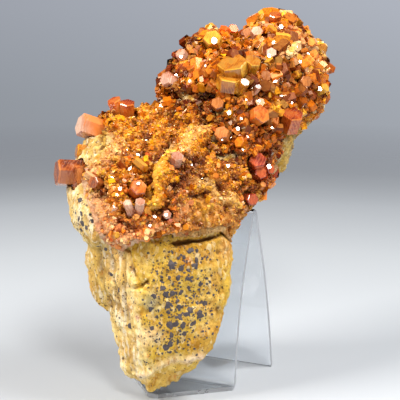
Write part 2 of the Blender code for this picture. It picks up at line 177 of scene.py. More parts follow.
# ------------------------------------------------------------------ crust zones
# Outline of the crust, as in part.py.
CRUST_EDGE = np.array([
    (-29.5, -13.2), (-32.0, -8.5), (-33.8, -1.0), (-35.4, 5.0), (-36.6, 9.5), (-32.5, 13.0), (-29.0, 16.0), (-28.0, 20.0), (-33.5, 21.5), (-42, 26),
    (-42, 70), (60, 70), (60, 21), (31, 20.6), (26.5, 19.5), (25.4, 14.0), (23.6, 8.6), (30, 2), (30, -12), (11.4, -13.6), (9.0, -13.0),
    (6.6, -9.9), (0.5, -11.2), (-5.8, -11.6), (-10.4, -10.4), (-14.6, -12.0), (-20.5, -14.0), (-24.5, -15.2),
])


def inside_edge(x, z):
    """Signed distance to the crust's outline, positive inside it."""
    n = len(CRUST_EDGE)
    best = to_line(x, z, [*map(tuple, CRUST_EDGE), tuple(CRUST_EDGE[0])])
    inside = np.zeros(len(x), bool)
    for i in range(n):
        (x0, z0), (x1, z1) = CRUST_EDGE[i], CRUST_EDGE[(i + 1) % n]
        if z0 == z1:
            continue
        hit = ((z0 > z) != (z1 > z)) & (x < x0 + (z - z0) * (x1 - x0) / (z1 - z0))
        inside ^= hit
    return np.where(inside, best, -best)


# Colours of vanadinite and of what coats it, from darkest to palest (linear)
PALETTE = np.array([
    (0.190, 0.024, 0.003),  # maroon
    (0.460, 0.095, 0.004),  # brown
    (0.940, 0.260, 0.006),  # orange
    (0.780, 0.080, 0.007),  # red
    (0.900, 0.430, 0.008),  # gold
    (0.950, 0.540, 0.035),  # yellow
    (0.950, 0.500, 0.260),  # pink
    (0.970, 0.780, 0.400),  # cream
])

# what grows where: centre (u, v) and radii in the frame's pixels, shares of the
# palette, crystal radius in mm, height factor, how crowded
ZONES = {
    #                 u    v   ru  rv   mar  brn  org  red  gld  yel  pnk  crm   radius height crowd
    "micro_druse":  (140, 133, 44, 22, (.04, .11, .19, .01, .46, .17, .00, .02), 0.33, 1.1, 1.6),
    "druse_right":  (182, 124, 26, 12, (.05, .14, .20, .01, .42, .16, .00, .02), 0.33, 1.1, 1.5),
    "head":         (128, 176, 38, 30, (.08, .18, .26, .03, .30, .12, .01, .02), 0.40, 1.2, 1.3),
    "pale_left":    (104, 150, 14, 22, (.03, .10, .16, .01, .30, .20, .08, .14), 0.34, 0.9, 0.9),
    "left_edge":    (98, 196, 9, 26, (.02, .08, .18, .02, .10, .18, .20, .22), 0.36, 0.9, 0.9),
    "rim":          (118, 230, 40, 14, (.05, .12, .28, .08, .10, .08, .20, .10), 0.50, 1.0, 1.0),
    "rim_right":    (164, 220, 24, 13, (.05, .14, .36, .08, .10, .08, .13, .06), 0.46, 1.1, 1.1),
    "nose_left":    (158, 185, 8, 26, (.03, .08, .18, .00, .35, .26, .05, .05), 0.32, 0.8, 1.0),
    "nose_right":   (182, 184, 12, 18, (.14, .30, .28, .02, .16, .06, .02, .02), 0.34, 1.0, 1.2),
    "nose_top":     (180, 160, 12, 9, (.06, .16, .10, .06, .06, .06, .34, .16), 0.55, 1.0, 1.0),
    "golden":       (205, 146, 14, 16, (.07, .15, .22, .01, .42, .12, .00, .02), 0.32, 1.0, 1.4),
    "flank":        (203, 190, 20, 22, (.08, .17, .22, .02, .32, .13, .03, .04), 0.38, 1.0, 1.0),
    "flank_right":  (232, 176, 22, 24, (.05, .12, .28, .03, .34, .14, .01, .03), 0.38, 1.0, 1.3),
    "flank_low":    (214, 218, 26, 18, (.06, .18, .12, .01, .34, .16, .05, .08), 0.36, 1.0, 0.5),
    "edge_right":   (248, 212, 12, 26, (.04, .16, .18, .05, .18, .18, .12, .09), 0.38, 1.0, 0.7),
    "waist":        (200, 108, 34, 14, (.18, .28, .32, .05, .12, .03, .01, .01), 0.50, 1.2, 1.1),
    "waist_upper":  (258, 104, 20, 14, (.22, .34, .28, .03, .10, .02, .00, .01), 0.52, 1.2, 1.1),
    "waist_right":  (250, 138, 28, 26, (.28, .36, .22, .05, .06, .01, .01, .01), 0.58, 1.3, 1.1),
    "ruby":         (260, 178, 14, 18, (.12, .20, .26, .26, .06, .02, .06, .02), 0.55, 1.2, 1.1),
    "crest_left":   (190, 62, 30, 36, (.12, .22, .32, .08, .14, .05, .05, .02), 0.72, 1.1, 1.0),
    "crest_edge":   (190, 36, 22, 16, (.03, .08, .28, .04, .26, .18, .05, .08), 0.70, 1.0, 1.0),
    "crest_mid":    (240, 66, 26, 24, (.10, .24, .30, .02, .26, .05, .01, .03), 0.72, 1.1, 0.9),
    "crest_right":  (290, 92, 42, 28, (.12, .24, .36, .03, .18, .04, .01, .02), 0.70, 1.1, 1.1),
    "crest_upper":  (278, 58, 26, 14, (.02, .07, .27, .02, .28, .16, .07, .16), 0.78, 1.1, 1.0),
    "crest_top":    (278, 24, 30, 16, (.03, .10, .34, .06, .27, .10, .05, .05), 0.72, 1.1, 1.0),
    "cream_right":  (302, 51, 28, 17, (.00, .02, .06, .00, .08, .22, .18, .44), 0.68, 1.0, 0.9),
    "under_right":  (312, 122, 26, 14, (.06, .20, .24, .00, .26, .18, .02, .04), 0.42, 1.0, 1.0),
}
ZONE_ROWS = list(ZONES.values())
REDDER = np.array((0.80, 1.20, 1.25))  # how shade in the hollows takes each channel

# bands that follow a line: points in the frame, half width in pixels, strength,
# how bare of crystals, shares of the palette
BANDS = [
    ([(205, 126), (190, 136), (180, 144), (168, 154)], 4.0, 7.0, 0.5, (.00, .04, .06, .00, .22, .32, .16, .20)),
    ([(164, 158), (158, 168), (156, 178), (153, 192), (155, 206)], 5.0, 12.0, 0.75, (.00, .00, .04, .00, .48, .44, .01, .03)),
    ([(166, 166), (164, 184), (160, 200)], 4.0, 9.0, 0.4, (.00, .04, .40, .00, .46, .10, .00, .00)),
    ([(104, 136), (118, 146), (113, 152), (101, 156), (92, 166)], 5.0, 9.0, 0.70, (.02, .08, .05, .00, .24, .18, .17, .26)),
    ([(92, 168), (93, 186), (97, 204)], 4.0, 6.0, 0.4, (.00, .02, .10, .02, .06, .14, .32, .34)),
    ([(202, 178), (214, 186), (224, 200), (237, 199)], 5.0, 6.0, 0.5, (.01, .02, .04, .00, .14, .44, .06, .29)),
    ([(190, 204), (200, 202), (212, 206), (208, 218)], 4.0, 3.0, 0.4, (.04, .08, .04, .00, .34, .38, .02, .10)),
    ([(97, 205), (103, 224), (118, 240), (136, 240)], 5.0, 8.0, 0.60, (.00, .03, .20, .07, .03, .06, .38, .23)),
    ([(136, 240), (158, 232), (176, 220), (188, 206)], 4.0, 6.0, 0.35, (.01, .06, .36, .12, .06, .06, .22, .11)),
    ([(262, 200), (252, 220), (240, 236)], 4.5, 6.0, 0.6, (.00, .06, .02, .00, .30, .46, .02, .14)),
    ([(262, 70), (272, 90), (276, 118), (280, 128)], 3.0, 3.0, 0.2, (.04, .14, .18, .00, .34, .22, .02, .06)),
    ([(185, 44), (205, 30), (220, 28)], 4.0, 3.0, 0.2, (.00, .05, .25, .00, .28, .28, .04, .10)),
    ([(246, 40), (262, 18), (284, 12), (306, 30), (326, 44)], 4.0, 3.0, 0.2, (.00, .04, .25, .00, .25, .26, .08, .12)),
]


def shares(x, z):
    """Shares of the palette, crystal radius, height factor and crowding at each place."""
    w = np.empty((len(x), len(ZONE_ROWS)))
    for i, row in enumerate(ZONE_ROWS):
        cx, cz = px(row[0], row[1])
        d = ((x - cx) / (row[2] * 0.3)) ** 2 + ((z - cz) / (row[3] * 0.3)) ** 2
        w[:, i] = np.exp(-1.6 * d) + 1e-9
    total = w.sum(1, keepdims=True)
    colours = w @ np.array([r[4] for r in ZONE_ROWS])
    rest = (w / total) @ np.array([r[5:8] for r in ZONE_ROWS])
    crowd = rest[:, 2]
    for points, half, strength, bare, row in BANDS:
        near = np.exp(-((to_line(x, z, [px(*q) for q in points]) / (half * 0.3)) ** 2))
        k = (strength * near)[:, None] * np.minimum(total, 1)
        colours = colours + k * np.array(row)
        total = total + k
        crowd = crowd * (1 - bare * near)
    return colours / total, rest[:, 0], rest[:, 1], crowd


# Dark hollows in the crust: (u, v, radius in pixels, depth in mm)
HOLLOWS = [
    (148, 192, 7, 3.4), (144, 151, 6, 2.6), (148, 134, 6, 2.4), (173, 144, 8, 3.4), (224, 148, 10, 3.2), (217, 107, 8, 3.2), (180, 92, 9, 3.2), (199, 89, 8, 2.8),
    (199, 51, 8, 3.2), (140, 174, 6, 2.2), (256, 161, 9, 3.0), (238, 152, 7, 2.2), (163, 153, 5, 1.8), (120, 176, 4, 1.4), (158, 212, 6, 1.8), (300, 102, 7, 2.0),
    (297, 70, 6, 2.0), (186, 122, 6, 1.8), (228, 124, 5, 1.6), (240, 128, 5, 1.6), (205, 122, 6, 2.0), (316, 66, 6, 1.6), (268, 98, 6, 1.8), (252, 52, 5, 1.6),
    (112, 158, 4, 1.2), (128, 196, 5, 1.6), (208, 176, 5, 1.6), (196, 160, 5, 1.5), (232, 206, 5, 1.8), (289, 135, 7, 2.0), (95, 132, 4, 1.2), (205, 193, 5, 2.0),
    (222, 187, 4, 2.0), (118, 200, 4, 1.4), (118, 220, 6, 1.2), (180, 106, 6, 1.6), (233, 92, 8, 1.8), (283, 66, 4, 1.6), (176, 186, 7, 1.2), (136, 118, 5, 1.4),
    (163, 102, 5, 1.2), (263, 138, 5, 1.6), (250, 196, 4, 1.4), (243, 178, 4, 1.4), (200, 224, 5, 1.4), (214, 212, 5, 1.4), (178, 226, 5, 1.2), (152, 160, 5, 1.6),
]


def hollow_depth(x, z):
    d = np.zeros(len(x))
    for u, v, r, deep in HOLLOWS:
        cx, cz = px(u, v)
        q = np.hypot(x - cx, z - cz) / (r * 0.3)
        d = np.maximum(d, deep * np.clip(1.2 - q, 0, 1))
    return d


# Ridges (+) and troughs (-) of the crust: points in the frame, half width in
# pixels, height in mm
RELIEF = [
    ([(206, 128), (190, 137), (178, 146), (167, 155), (160, 165), (156, 178), (154, 192), (156, 206)], 6, 2.6),
    ([(96, 204), (104, 224), (120, 242), (140, 238), (158, 231), (176, 219), (189, 205)], 6, 1.0),
    ([(170, 146), (160, 154), (151, 168), (146, 182), (148, 196)], 5, -2.0),
    ([(172, 200), (184, 188), (190, 170), (200, 158)], 7, -1.2),
    ([(214, 146), (228, 151), (246, 158), (256, 165)], 6, -1.8),
    ([(170, 90), (186, 92), (202, 88), (214, 98), (219, 114)], 6, -1.8),
    ([(196, 196), (206, 194), (222, 188), (230, 209)], 4, -1.2),
    ([(190, 238), (210, 236), (232, 236)], 4, -1.2),
    ([(213, 180), (226, 200), (240, 202)], 4, 0.9),
    ([(98, 118), (118, 108), (140, 110), (165, 104)], 5, 0.5),
    ([(236, 34), (241, 46), (237, 58)], 5, -1.2),
    ([(255, 66), (268, 84), (276, 100), (282, 120)], 5, 0.8),
    ([(268, 60), (276, 70), (288, 74), (298, 68)], 4, -1.0),
    ([(222, 122), (236, 128), (252, 130), (262, 140)], 4, -0.8),
    ([(260, 46), (284, 52), (304, 60)], 8, 0.7),
]


TRIMS = [
    ([(158, 96), (172, 68), (184, 46), (204, 26), (222, 24)], 9, 1.1),
    ([(338, 52), (334, 80), (334, 105)], 10, 1.3),
    ([(312, 30), (326, 42)], 6, 0.7),
    ([(274, 200), (262, 214)], 6, 1.0),
]


def near_trim(x, z):
    """1 along the trimmed parts of the outline, 0 away from them."""
    return np.max([np.exp(-((to_line(x, z, [px(*q) for q in points]) / (half * 0.2)) ** 2)) for points, half, _ in TRIMS], axis=0)


def relief(x, z):
    h = np.zeros(len(x))
    for points, half, high in RELIEF:
        h += high * np.exp(-((to_line(x, z, [px(*q) for q in points]) / (half * 0.3)) ** 2))
    return h


# ------------------------------------------------------------------ rock
# colours on the rock, a few of them painted shade: centre and radii in the frame's pixels, colour, strength
GOLD = np.array((0.77, 0.48, 0.050))
CREAM = np.array((0.92, 0.74, 0.35))
ROCK_PATCHES = [
    (178, 290, 30, 60, (0.62, 0.36, 0.050), 0.7),
    (212, 300, 14, 60, (0.82, 0.50, 0.14), 0.6),
    (82, 205, 16, 50, (0.92, 0.80, 0.44), 0.8),
    (84, 178, 10, 10, (0.92, 0.72, 0.52), 0.7),
    (95, 268, 11, 40, (0.62, 0.38, 0.055), 0.9),
    (106, 302, 10, 12, (0.34, 0.19, 0.030), 0.8),
    (98, 262, 3, 14, (0.22, 0.18, 0.12), 0.8),
    (152, 300, 9, 13, (0.47, 0.41, 0.25), 0.85),
    (150, 336, 13, 9, (0.90, 0.68, 0.45), 0.8),
    (188, 261, 4, 4, (0.84, 0.27, 0.05), 0.9),
    (137, 318, 3, 3, (0.62, 0.27, 0.20), 0.9),
    (127, 309, 3, 4, (0.66, 0.28, 0.17), 0.7),
    (203, 331, 10, 6, (0.82, 0.36, 0.06), 0.6),
    (203, 328, 5, 3, (0.86, 0.56, 0.26), 0.7),
    (146, 262, 9, 20, (0.72, 0.50, 0.15), 0.6),
    # painted shade: the next three patches darken the toe's under side
    (170, 378, 24, 12, (0.62, 0.38, 0.11), 0.8),
    (188, 382, 9, 9, (0.42, 0.23, 0.06), 0.6),
    (150, 386, 8, 7, (0.66, 0.38, 0.05), 0.7),
    (126, 352, 8, 14, (0.74, 0.46, 0.08), 0.6),
    (113, 250, 7, 12, (0.82, 0.50, 0.13), 0.5),
    (288, 145, 12, 20, (0.55, 0.40, 0.16), 0.6),
    (272, 176, 10, 16, (0.80, 0.52, 0.14), 0.6),
    # painted shade: the next three patches darken the bulge and its creases below the pale crystal
    (94, 143, 16, 13, (0.56, 0.38, 0.15), 0.85),
    (104, 137, 6, 5, (0.34, 0.16, 0.03), 0.7),
    (90, 150, 6, 5, (0.36, 0.18, 0.04), 0.7),
    (226, 250, 7, 14, (0.72, 0.36, 0.14), 0.6),
]


def column_edge(z):
    """x of the upright edge between the column's left side and its front."""
    v = 200 - z / 0.3
    return (np.interp(v, [240, 262, 285, 320, 350, 390], [127, 132, 137, 143, 149, 151]) - 200) * 0.3


def make_rock():
    me = remeshed(NODES["matrix"], "rock", 0.52, 2)
    v, n = verts_of(me), normals_of(me)
    o = own(v)
    x, z, y = o.T
    p = v / MM
    front = smoothstep(n @ np.array(PLACE_3 @ Vector((0, -1, 0))), -0.05, 0.3)
    h = 0.50 * fbm(p, 5.0, 3, (3, 1, 7)) + 0.32 * fbm(p, 1.6, 3, (9, 4, 2)) + 0.20 * fbm(p, 0.8, 2, (2, 5, 1))
    c = cells(p, 4.2, (1, 5, 2))
    h += 0.60 * (smoothstep(c[:, 1] - c[:, 0], 0.0, 0.35) - 1.0) * smoothstep(fbm(p, 9.0, 2, (4, 4, 1)), -0.1, 0.5)
    # the left side falls away behind the column's upright edge
    low = smoothstep(-z, 12.0, 17.0)
    past = np.clip(column_edge(z) - x, 0, 12)
    h += front * low * (0.75 * np.exp(-((x - column_edge(z)) / 1.3) ** 2) - 0.9 * smoothstep(past, 0.5, 5.0))
    # upright ribs there
    left = smoothstep(column_edge(z) - x, -0.5, 1.5) * (z < -6) + smoothstep(-x, 29.0, 31.0) * (z >= -6)
    left = np.clip(left, 0, 1)
    ribs = np.array([noise.noise((a * 0.62, b * 0.085, 3.3)) for a, b in zip((x + 0.25 * z).tolist(), z.tolist())])
    fine_ribs = np.array([noise.noise((a * 1.6, b * 0.22, 8.1)) for a, b in zip((x + 0.25 * z).tolist(), z.tolist())])
    h += left * front * (0.45 * ribs + 0.26 * fine_ribs)
    # cleft, gash, undercut and cracks on the front
    wander = 0.5 * fbm(p, 2.4, 2, (6, 6, 6))
    h -= front * 1.9 * np.exp(-((to_line(x + wander, z, [px(129, 250), px(132, 266), px(136, 280)]) / 0.50) ** 2))
    h -= front * 1.8 * np.exp(-((to_line(x, z + wander, [px(135, 289), px(141, 286), px(148, 281)]) / 0.50) ** 2))
    h -= front * 3.0 * np.exp(-((to_line(x, z + 1.2 * wander, [px(176, 243), px(188, 241), px(205, 239), px(222, 234)]) / 0.9) ** 2))
    h -= front * 0.9 * np.exp(-((to_line(x + wander, z, [px(100, 236), px(96, 262), px(99, 285), px(107, 308)]) / 0.8) ** 2))
    h -= front * 0.9 * np.exp(-((to_line(x + wander, z, [px(121, 252), px(123, 275), px(122, 300), px(128, 330)]) / 0.55) ** 2))
    h -= front * 0.8 * np.exp(-((to_line(x + wander, z, [px(110, 256), px(112, 285), px(116, 312)]) / 0.5) ** 2))
    h -= front * 0.7 * np.exp(-((to_line(x + wander, z, [px(218, 250), px(221, 285), px(216, 330)]) / 0.5) ** 2))
    for crease in ([(106, 134), (98, 142), (91, 147)], [(99, 130), (94, 138), (86, 142)], [(112, 141), (101, 149), (94, 153)]):
        h -= front * 0.8 * np.exp(-((to_line(x + wander, z + wander, [px(*q) for q in crease]) / 0.5) ** 2))
    # broken faces and cracks on the back
    behind = smoothstep(y, 12.0, 18.0)
    h += behind * (1.1 * fbm(p, 12.0, 3, (2, 9, 4)) + 0.75 * facets(p, 8.0, (3, 5, 2)) + 0.35 * facets(p, 3.0, (1, 2, 6)))
    h -= behind * 1.1 * np.exp(-((fbm(p, 15.0, 3, (6, 1, 9)) / 0.030) ** 2))
    # the crumbly seam above the toe stands proud, and the toe's under side is cut back
    seam = to_line(x, z + 0.6 * wander, [px(140, 376), px(150, 371), px(160, 364), px(172, 361), px(186, 360), px(201, 356)])
    h += front * 0.8 * np.exp(-((seam / 0.8) ** 2)) * (1 + 0.8 * fbm(p, 1.1, 2))
    h += 1.0 * np.exp(-(((x - px(151, 0)[0]) / 2.5) ** 2 + ((z - px(0, 391)[1]) / 3.0) ** 2))
    # pits
    c = cells(p, 2.1, (7, 1, 3))
    h -= 0.5 * smoothstep(0.28 - c[:, 0], 0.0, 0.2) * (left < 0.5)
    # the rock closes the gap below the crust's edge
    under = smoothstep(inside_edge(x, z), -0.2, 1.2) * smoothstep(8.5 + 0.36 * z - y, -0.5, 1.0)
    h = h * (1 - 0.8 * under) + (0.1 - 0.9 * hollow_depth(x, z)) * under
    set_verts(me, v + n * (h * MM)[:, None])
    # painted shade on the bulge below the pale crystal, carried into the height attribute
    cx, cz = px(93, 144)
    bulge_shade = 1.9 * np.exp(-((((x - cx) / 4.6) ** 2 + ((z - cz) / 4.2) ** 2) ** 1.5)) * np.clip(0.75 + 1.1 * fbm(p, 2.0, 2, (8, 8, 3)), 0, 1.3)
    float_attribute(me, "height", h - bulge_shade)
    # the left side is cream: partly its own paler stone, partly painted light from the left
    tint = GOLD * (1 - left)[:, None] + CREAM * left[:, None]
    back = smoothstep(y, 12.0, 16.0)[:, None]
    tint = tint * (1 - back) + (GOLD * 0.55 + CREAM * 0.45) * back
    for scale, shift, lo, hi, k, colour in (
        (11.0, (7, 2, 2), 0.00, 0.35, 0.75, (0.52, 0.28, 0.05)),
        (8.0, (1, 8, 5), 0.08, 0.35, 0.75, (0.93, 0.80, 0.50)),
        (5.0, (5, 5, 8), 0.18, 0.40, 0.70, (0.62, 0.26, 0.05)),
        (6.0, (9, 3, 3), 0.20, 0.45, 0.60, (0.50, 0.44, 0.28)),
    ):
        m = k * back * smoothstep(fbm(p, scale, 3, shift), lo, hi)[:, None]
        tint = tint * (1 - m) + np.array(colour) * m
    for u, vv, ru, rv, colour, k in ROCK_PATCHES:
        cx, cz = px(u, vv)
        d = ((x - cx + wander * 0.5) / (ru * 0.3)) ** 2 + ((z - cz + wander * 0.4) / (rv * 0.3)) ** 2
        m = (k * np.exp(-(d**1.5)) * (y < 20))[:, None]
        tint = tint * (1 - m) + np.array(colour) * m
    m = (front * np.exp(-((seam / 1.1) ** 2)) * 0.8)[:, None]
    tint = tint * (1 - m) + np.array((0.92, 0.76, 0.62)) * m
    colour_attribute(me, "tint", np.clip(tint, 0, 1))
    float_attribute(me, "left", left)
    # where manganese stains gather
    stain = np.full(len(x), 0.10)
    for u, vv, ru, rv, k in ((180, 290, 36, 58, 1.0), (190, 262, 28, 18, 0.9), (172, 340, 18, 18, 1.0), (82, 222, 12, 18, 1.0), (80, 200, 8, 8, 0.9), (150, 325, 14, 20, 0.7), (116, 290, 20, 44, 0.8), (212, 285, 12, 40, 0.6), (150, 355, 14, 14, 0.5)):
        cx, cz = px(u, vv)
        stain = np.maximum(stain, k * np.exp(-((((x - cx) / (ru * 0.3)) ** 2 + ((z - cz) / (rv * 0.3)) ** 2) ** 2)))
    stain = np.maximum(stain, 0.7 * behind * smoothstep(fbm(p, 10.0, 2, (3, 3, 8)), 0.10, 0.40))
    float_attribute(me, "stain", stain)
    me.update()
    return new_object("rock", me)


# ------------------------------------------------------------------ crust bed
def facets(points, scale, shift=(0, 0, 0)):
    """Blocks of random height and slant, about -1..1: one for each cell."""
    out = np.empty(len(points))
    q = points / scale + np.array(shift)
    for i, p in enumerate(q.tolist()):
        _, near = noise.voronoi(p)
        c = near[0]
        slope = noise.cell_vector(c * 7.31)
        out[i] = 0.6 * (noise.cell(c * 3.17) * 2 - 1) + (Vector(p) - c).dot(Vector(slope) * 2 - Vector((1, 1, 1))) * 0.9
    return out


def make_bed(rock_tree):
    me = remeshed(NODES["druse"], "crust_bed", 0.50, 2)
    v, n = verts_of(me), normals_of(me)
    o = own(v)
    x, z, y = o.T
    p = v / MM
    outer = np.array([1.0 if (rock_tree.find_nearest(Vector(q))[3] or 0) > 1.3 * MM else 0.0 for q in v.tolist()])
    front = smoothstep(n @ np.array(PLACE_3 @ Vector((0, -1, 0))), -0.1, 0.35)
    coarse = shares(x, z)[1] / 0.36
    blocks = facets(p, 1.5, (2, 3, 1)) * 0.35 + facets(p, 3.4, (5, 1, 4)) * 0.55 * np.clip(coarse - 0.5, 0.3, 1.5)
    own_relief = relief(x, z) - hollow_depth(x, z)
    lumps = 1.15 * fbm(p, 4.6, 3, (5, 5, 5)) + 0.70 * fbm(p, 2.1, 2, (2, 8, 1))
    # the low flank is fibrous, like the rock under it
    low = np.exp(-(((x - 4.0) / 8.5) ** 2 + ((z + 5.2) / 6.0) ** 2))
    fibres = fbm(p * np.array([1.0, 1.0, 0.26]), 1.3, 3, (3, 7, 2))
    h = -1.15 + lumps * (1 - 0.4 * low) + blocks * (1 - low) + 1.1 * low * fibres + front * own_relief
    rim = smoothstep(1.7 - inside_edge(x, z), 0.0, 1.2) * smoothstep(8.0 - z, 0.0, 4.0)
    h += rim * (0.9 * fbm(p, 2.4, 3, (6, 2, 2)) + 0.5 * fbm(p * np.array([1.0, 1.0, 0.4]), 0.9, 2, (1, 9, 2)))
    h = np.clip(h, -4.2, 1.6)
    level = h + 1.15
    # trimmed where the crystals would stand past the outline
    for points, half, high in TRIMS:
        h -= high * np.exp(-((to_line(x, z, [px(*q) for q in points]) / (half * 0.3)) ** 2))
    crumbs = (1 - outer) * (0.45 * fbm(p, 1.8, 3, (1, 1, 6)) + 0.30 * fbm(p, 0.8, 2, (4, 2, 2)))
    set_verts(me, v + n * ((h * outer + crumbs) * MM)[:, None])
    mix, _, _, crowd = shares(x, z)
    h = level
    # painted shade in the hollows and painted light on the crests, carried by the palette
    mix = painted_light_by_height(mix, h)
    tint = mix @ PALETTE
    bare = 1 - np.clip(crowd, 0, 1)
    bare = smoothstep(bare, 0.05, 0.55)
    # the crust ends in a pale, pinkish lip
    hue = smoothstep(fbm(p, 2.2, 2, (4, 4, 9)), -0.25, 0.35)[:, None]
    west = smoothstep(-x, 2.0, 14.0)[:, None]
    lip = (np.array((0.93, 0.50, 0.26)) * west + np.array((0.66, 0.35, 0.08)) * (1 - west)) * (1 - hue) + (np.array((0.96, 0.76, 0.50)) * west + np.array((0.90, 0.62, 0.24)) * (1 - west)) * hue
    tint = tint * (1 - rim)[:, None] + lip * rim[:, None]
    side = np.maximum(1 - outer, (1 - front) * smoothstep(2.0 - inside_edge(x, z), 0.0, 1.2)) * smoothstep(z, 5.0, 9.0)
    stone = GOLD * (1 - hue) + CREAM * hue
    tint = tint * (1 - side)[:, None] + stone * side[:, None]
    bare = np.maximum(bare, np.maximum(rim, side))
    # painted shade: the crystal-covered bed darkens the lower it lies, bare parts by a flat factor
    tint *= ((0.82 + 0.30 * np.clip(h, -2.3, 0.6)) * (1 - bare) + 0.85 * bare)[:, None] ** REDDER
    float_attribute(me, "bare", bare)
    colour_attribute(me, "tint", np.clip(tint, 0.002, 1))
    float_attribute(me, "outer", outer)
    float_attribute(me, "height", h)
    return new_object("crust_bed", me)


def painted_light_by_height(mix, h):
    """Shares of the palette, turned to maroon and brown in hollows as painted shade and to gold and cream on crests as
    painted light.
    """
    low = smoothstep(-h, 0.3, 2.0)[:, None]
    high = smoothstep(h, 0.2, 1.3)[:, None]
    deep = mix * np.array([6.0, 3.0, 0.8, 1.0, 0.35, 0.12, 0.15, 0.05])
    top = mix * np.array([0.2, 0.5, 1.0, 1.0, 1.4, 1.9, 1.7, 2.0])
    deep = deep / deep.sum(1, keepdims=True)
    top = top / top.sum(1, keepdims=True)
    mix = mix * (1 - low) + deep * low
    return mix * (1 - high) + top * high


# ------------------------------------------------------------------ small crystals
def sample_surface(me, count, rng, keep):
    """Seeded points on the mesh's faces: places, normals."""
    me.calc_loop_triangles()
    t = np.empty(len(me.loop_triangles) * 3, np.int32)
    me.loop_triangles.foreach_get("vertices", t)
    t = t.reshape(-1, 3)
    v = verts_of(me)
    a, b, c = v[t[:, 0]], v[t[:, 1]], v[t[:, 2]]
    cr = np.cross(b - a, c - a)
    area = np.linalg.norm(cr, axis=1) / 2
    nrm = cr / (2 * area[:, None] + 1e-30)
    mid = (a + b + c) / 3
    weight = area * keep(mid, nrm, t)
    pick = rng.choice(len(t), size=count, p=weight / weight.sum())
    r1, r2 = np.sqrt(rng.random(count)), rng.random(count)
    pts = (1 - r1)[:, None] * a[pick] + (r1 * (1 - r2))[:, None] * b[pick] + (r1 * r2)[:, None] * c[pick]
    return pts, nrm[pick], t[pick, 0]


HEX = np.array([(math.cos(k * math.pi / 3), math.sin(k * math.pi / 3)) for k in range(6)])


def prisms(name, seats, axes, radii, heights, sinks, tints, tones, rng, slant=0.25, bevelled=True):
    """Many hexagonal prisms in one mesh: rings of 6 and a cap, the edge of the cap bevelled."""
    n = len(seats)
    axes = axes / np.linalg.norm(axes, axis=1, keepdims=True)
    helper = np.where(np.abs(axes[:, 2:3]) < 0.9, np.array([[0, 0, 1.0]]), np.array([[1.0, 0, 0]]))
    u = np.cross(axes, helper)
    u /= np.linalg.norm(u, axis=1, keepdims=True)
    w = np.cross(axes, u)
    spin = rng.random(n) * math.pi
    cs, sn = np.cos(spin)[:, None], np.sin(spin)[:, None]
    u, w = u * cs + w * sn, -u * sn + w * cs
    squash = 1 + (rng.random((n, 6)) - 0.5) * 0.20
    slab = 0.60 + 0.45 * rng.random(n)
    bevel = radii * (0.04 + 0.12 * rng.random(n))
    rings = 3 if bevelled else 2
    verts = np.empty((n, rings * 6, 3))
    tilt = (rng.random((n, 2)) - 0.5) * slant
    for ring in range(rings):
        h = (-sinks, heights - bevel, heights)[ring] if bevelled else (-sinks, heights)[ring]
        r = (radii * 0.98, radii, radii - bevel)[ring]
        for k in range(6):
            rr = r * squash[:, k]
            dx, dy = HEX[k, 0] * rr, HEX[k, 1] * rr * slab
            up = h + (0 if ring == 0 else 1) * (dx * tilt[:, 0] + dy * tilt[:, 1])
            verts[:, ring * 6 + k] = seats + axes * up[:, None] + u * dx[:, None] + w * dy[:, None]
    faces = []
    each = rings * 6
    for ring in range(rings - 1):
        for k in range(6):
            a, b = ring * 6 + k, ring * 6 + (k + 1) % 6
            faces.append((a, b, b + 6, a + 6))
    quads = np.array(faces)
    base = np.arange(n)[:, None, None] * each
    q = (quads[None] + base).reshape(-1, 4)
    caps = (np.arange(each - 6, each)[None] + np.arange(n)[:, None] * each)
    me = bpy.data.meshes.new(name)
    me.vertices.add(n * each)
    me.vertices.foreach_set("co", verts.reshape(-1).astype(np.float32))
    loops = np.concatenate([q.ravel(), caps.ravel()])
    sizes = np.concatenate([np.full(len(q), 4), np.full(n, 6)])
    starts = np.concatenate([[0], np.cumsum(sizes)[:-1]])
    me.loops.add(len(loops))
    me.loops.foreach_set("vertex_index", loops.astype(np.int32))
    me.polygons.add(len(sizes))
    me.polygons.foreach_set("loop_start", starts.astype(np.int32))
    me.polygons.foreach_set("loop_total", sizes.astype(np.int32))
    me.update(calc_edges=True)
    me.validate()
    me.shade_flat()
    colour_attribute(me, "tint", np.repeat(tints, each, axis=0))
    float_attribute(me, "tone", np.repeat(tones, each))
    # painted light and shade: a random brightness for each side face, a higher one for each cap
    facet_light_and_shade = np.concatenate([np.repeat(rng.random((n, 6)), rings - 1, axis=0).reshape(n, rings - 1, 6).ravel(), 0.35 + 0.65 * rng.random(n)])
    me.attributes.new("facet", "FLOAT", "FACE").data.foreach_set("value", facet_light_and_shade.astype(np.float32))
    return me


BLOCKY = np.array((1.0, 1.3, 1.4, 1.0, 0.7, 0.08, 0.7, 0.3))


def crystal_tints(mix, points, rng, blend):
    """Colour of each crystal: its place's shares of the palette, in patches, so that neighbours are alike."""
    n = len(mix)
    patch = fbm(points, 2.3, 3, (8, 2, 5)) * 1.15 + rng.normal(0, 0.16, n)
    rank = np.empty(n)
    rank[np.argsort(patch)] = (np.arange(n) + 0.5) / n
    order = [0, 1, 3, 2, 4, 5, 6, 7]
    cum = np.cumsum(mix[:, order], 1)
    pick = np.array(order)[(rank[:, None] * cum[:, -1:] > cum).sum(1).clip(0, len(PALETTE) - 1)]
    stray = rng.random(n) < 0.08
    flat = np.cumsum(mix, 1)
    other = (rng.random(n)[:, None] * flat[:, -1:] > flat).sum(1).clip(0, len(PALETTE) - 1)
    pick = np.where(stray, other, pick)
    t = (0.30 * rng.random(n))[:, None]
    tint = PALETTE[pick] * (1 - t) + PALETTE[other] * t
    tint = tint * (1 - blend) + (mix @ PALETTE) / mix.sum(1, keepdims=True) * blend
    return np.clip(0.92 * tint * np.exp(rng.normal(0, 0.16, n))[:, None], 0.002, 0.97)


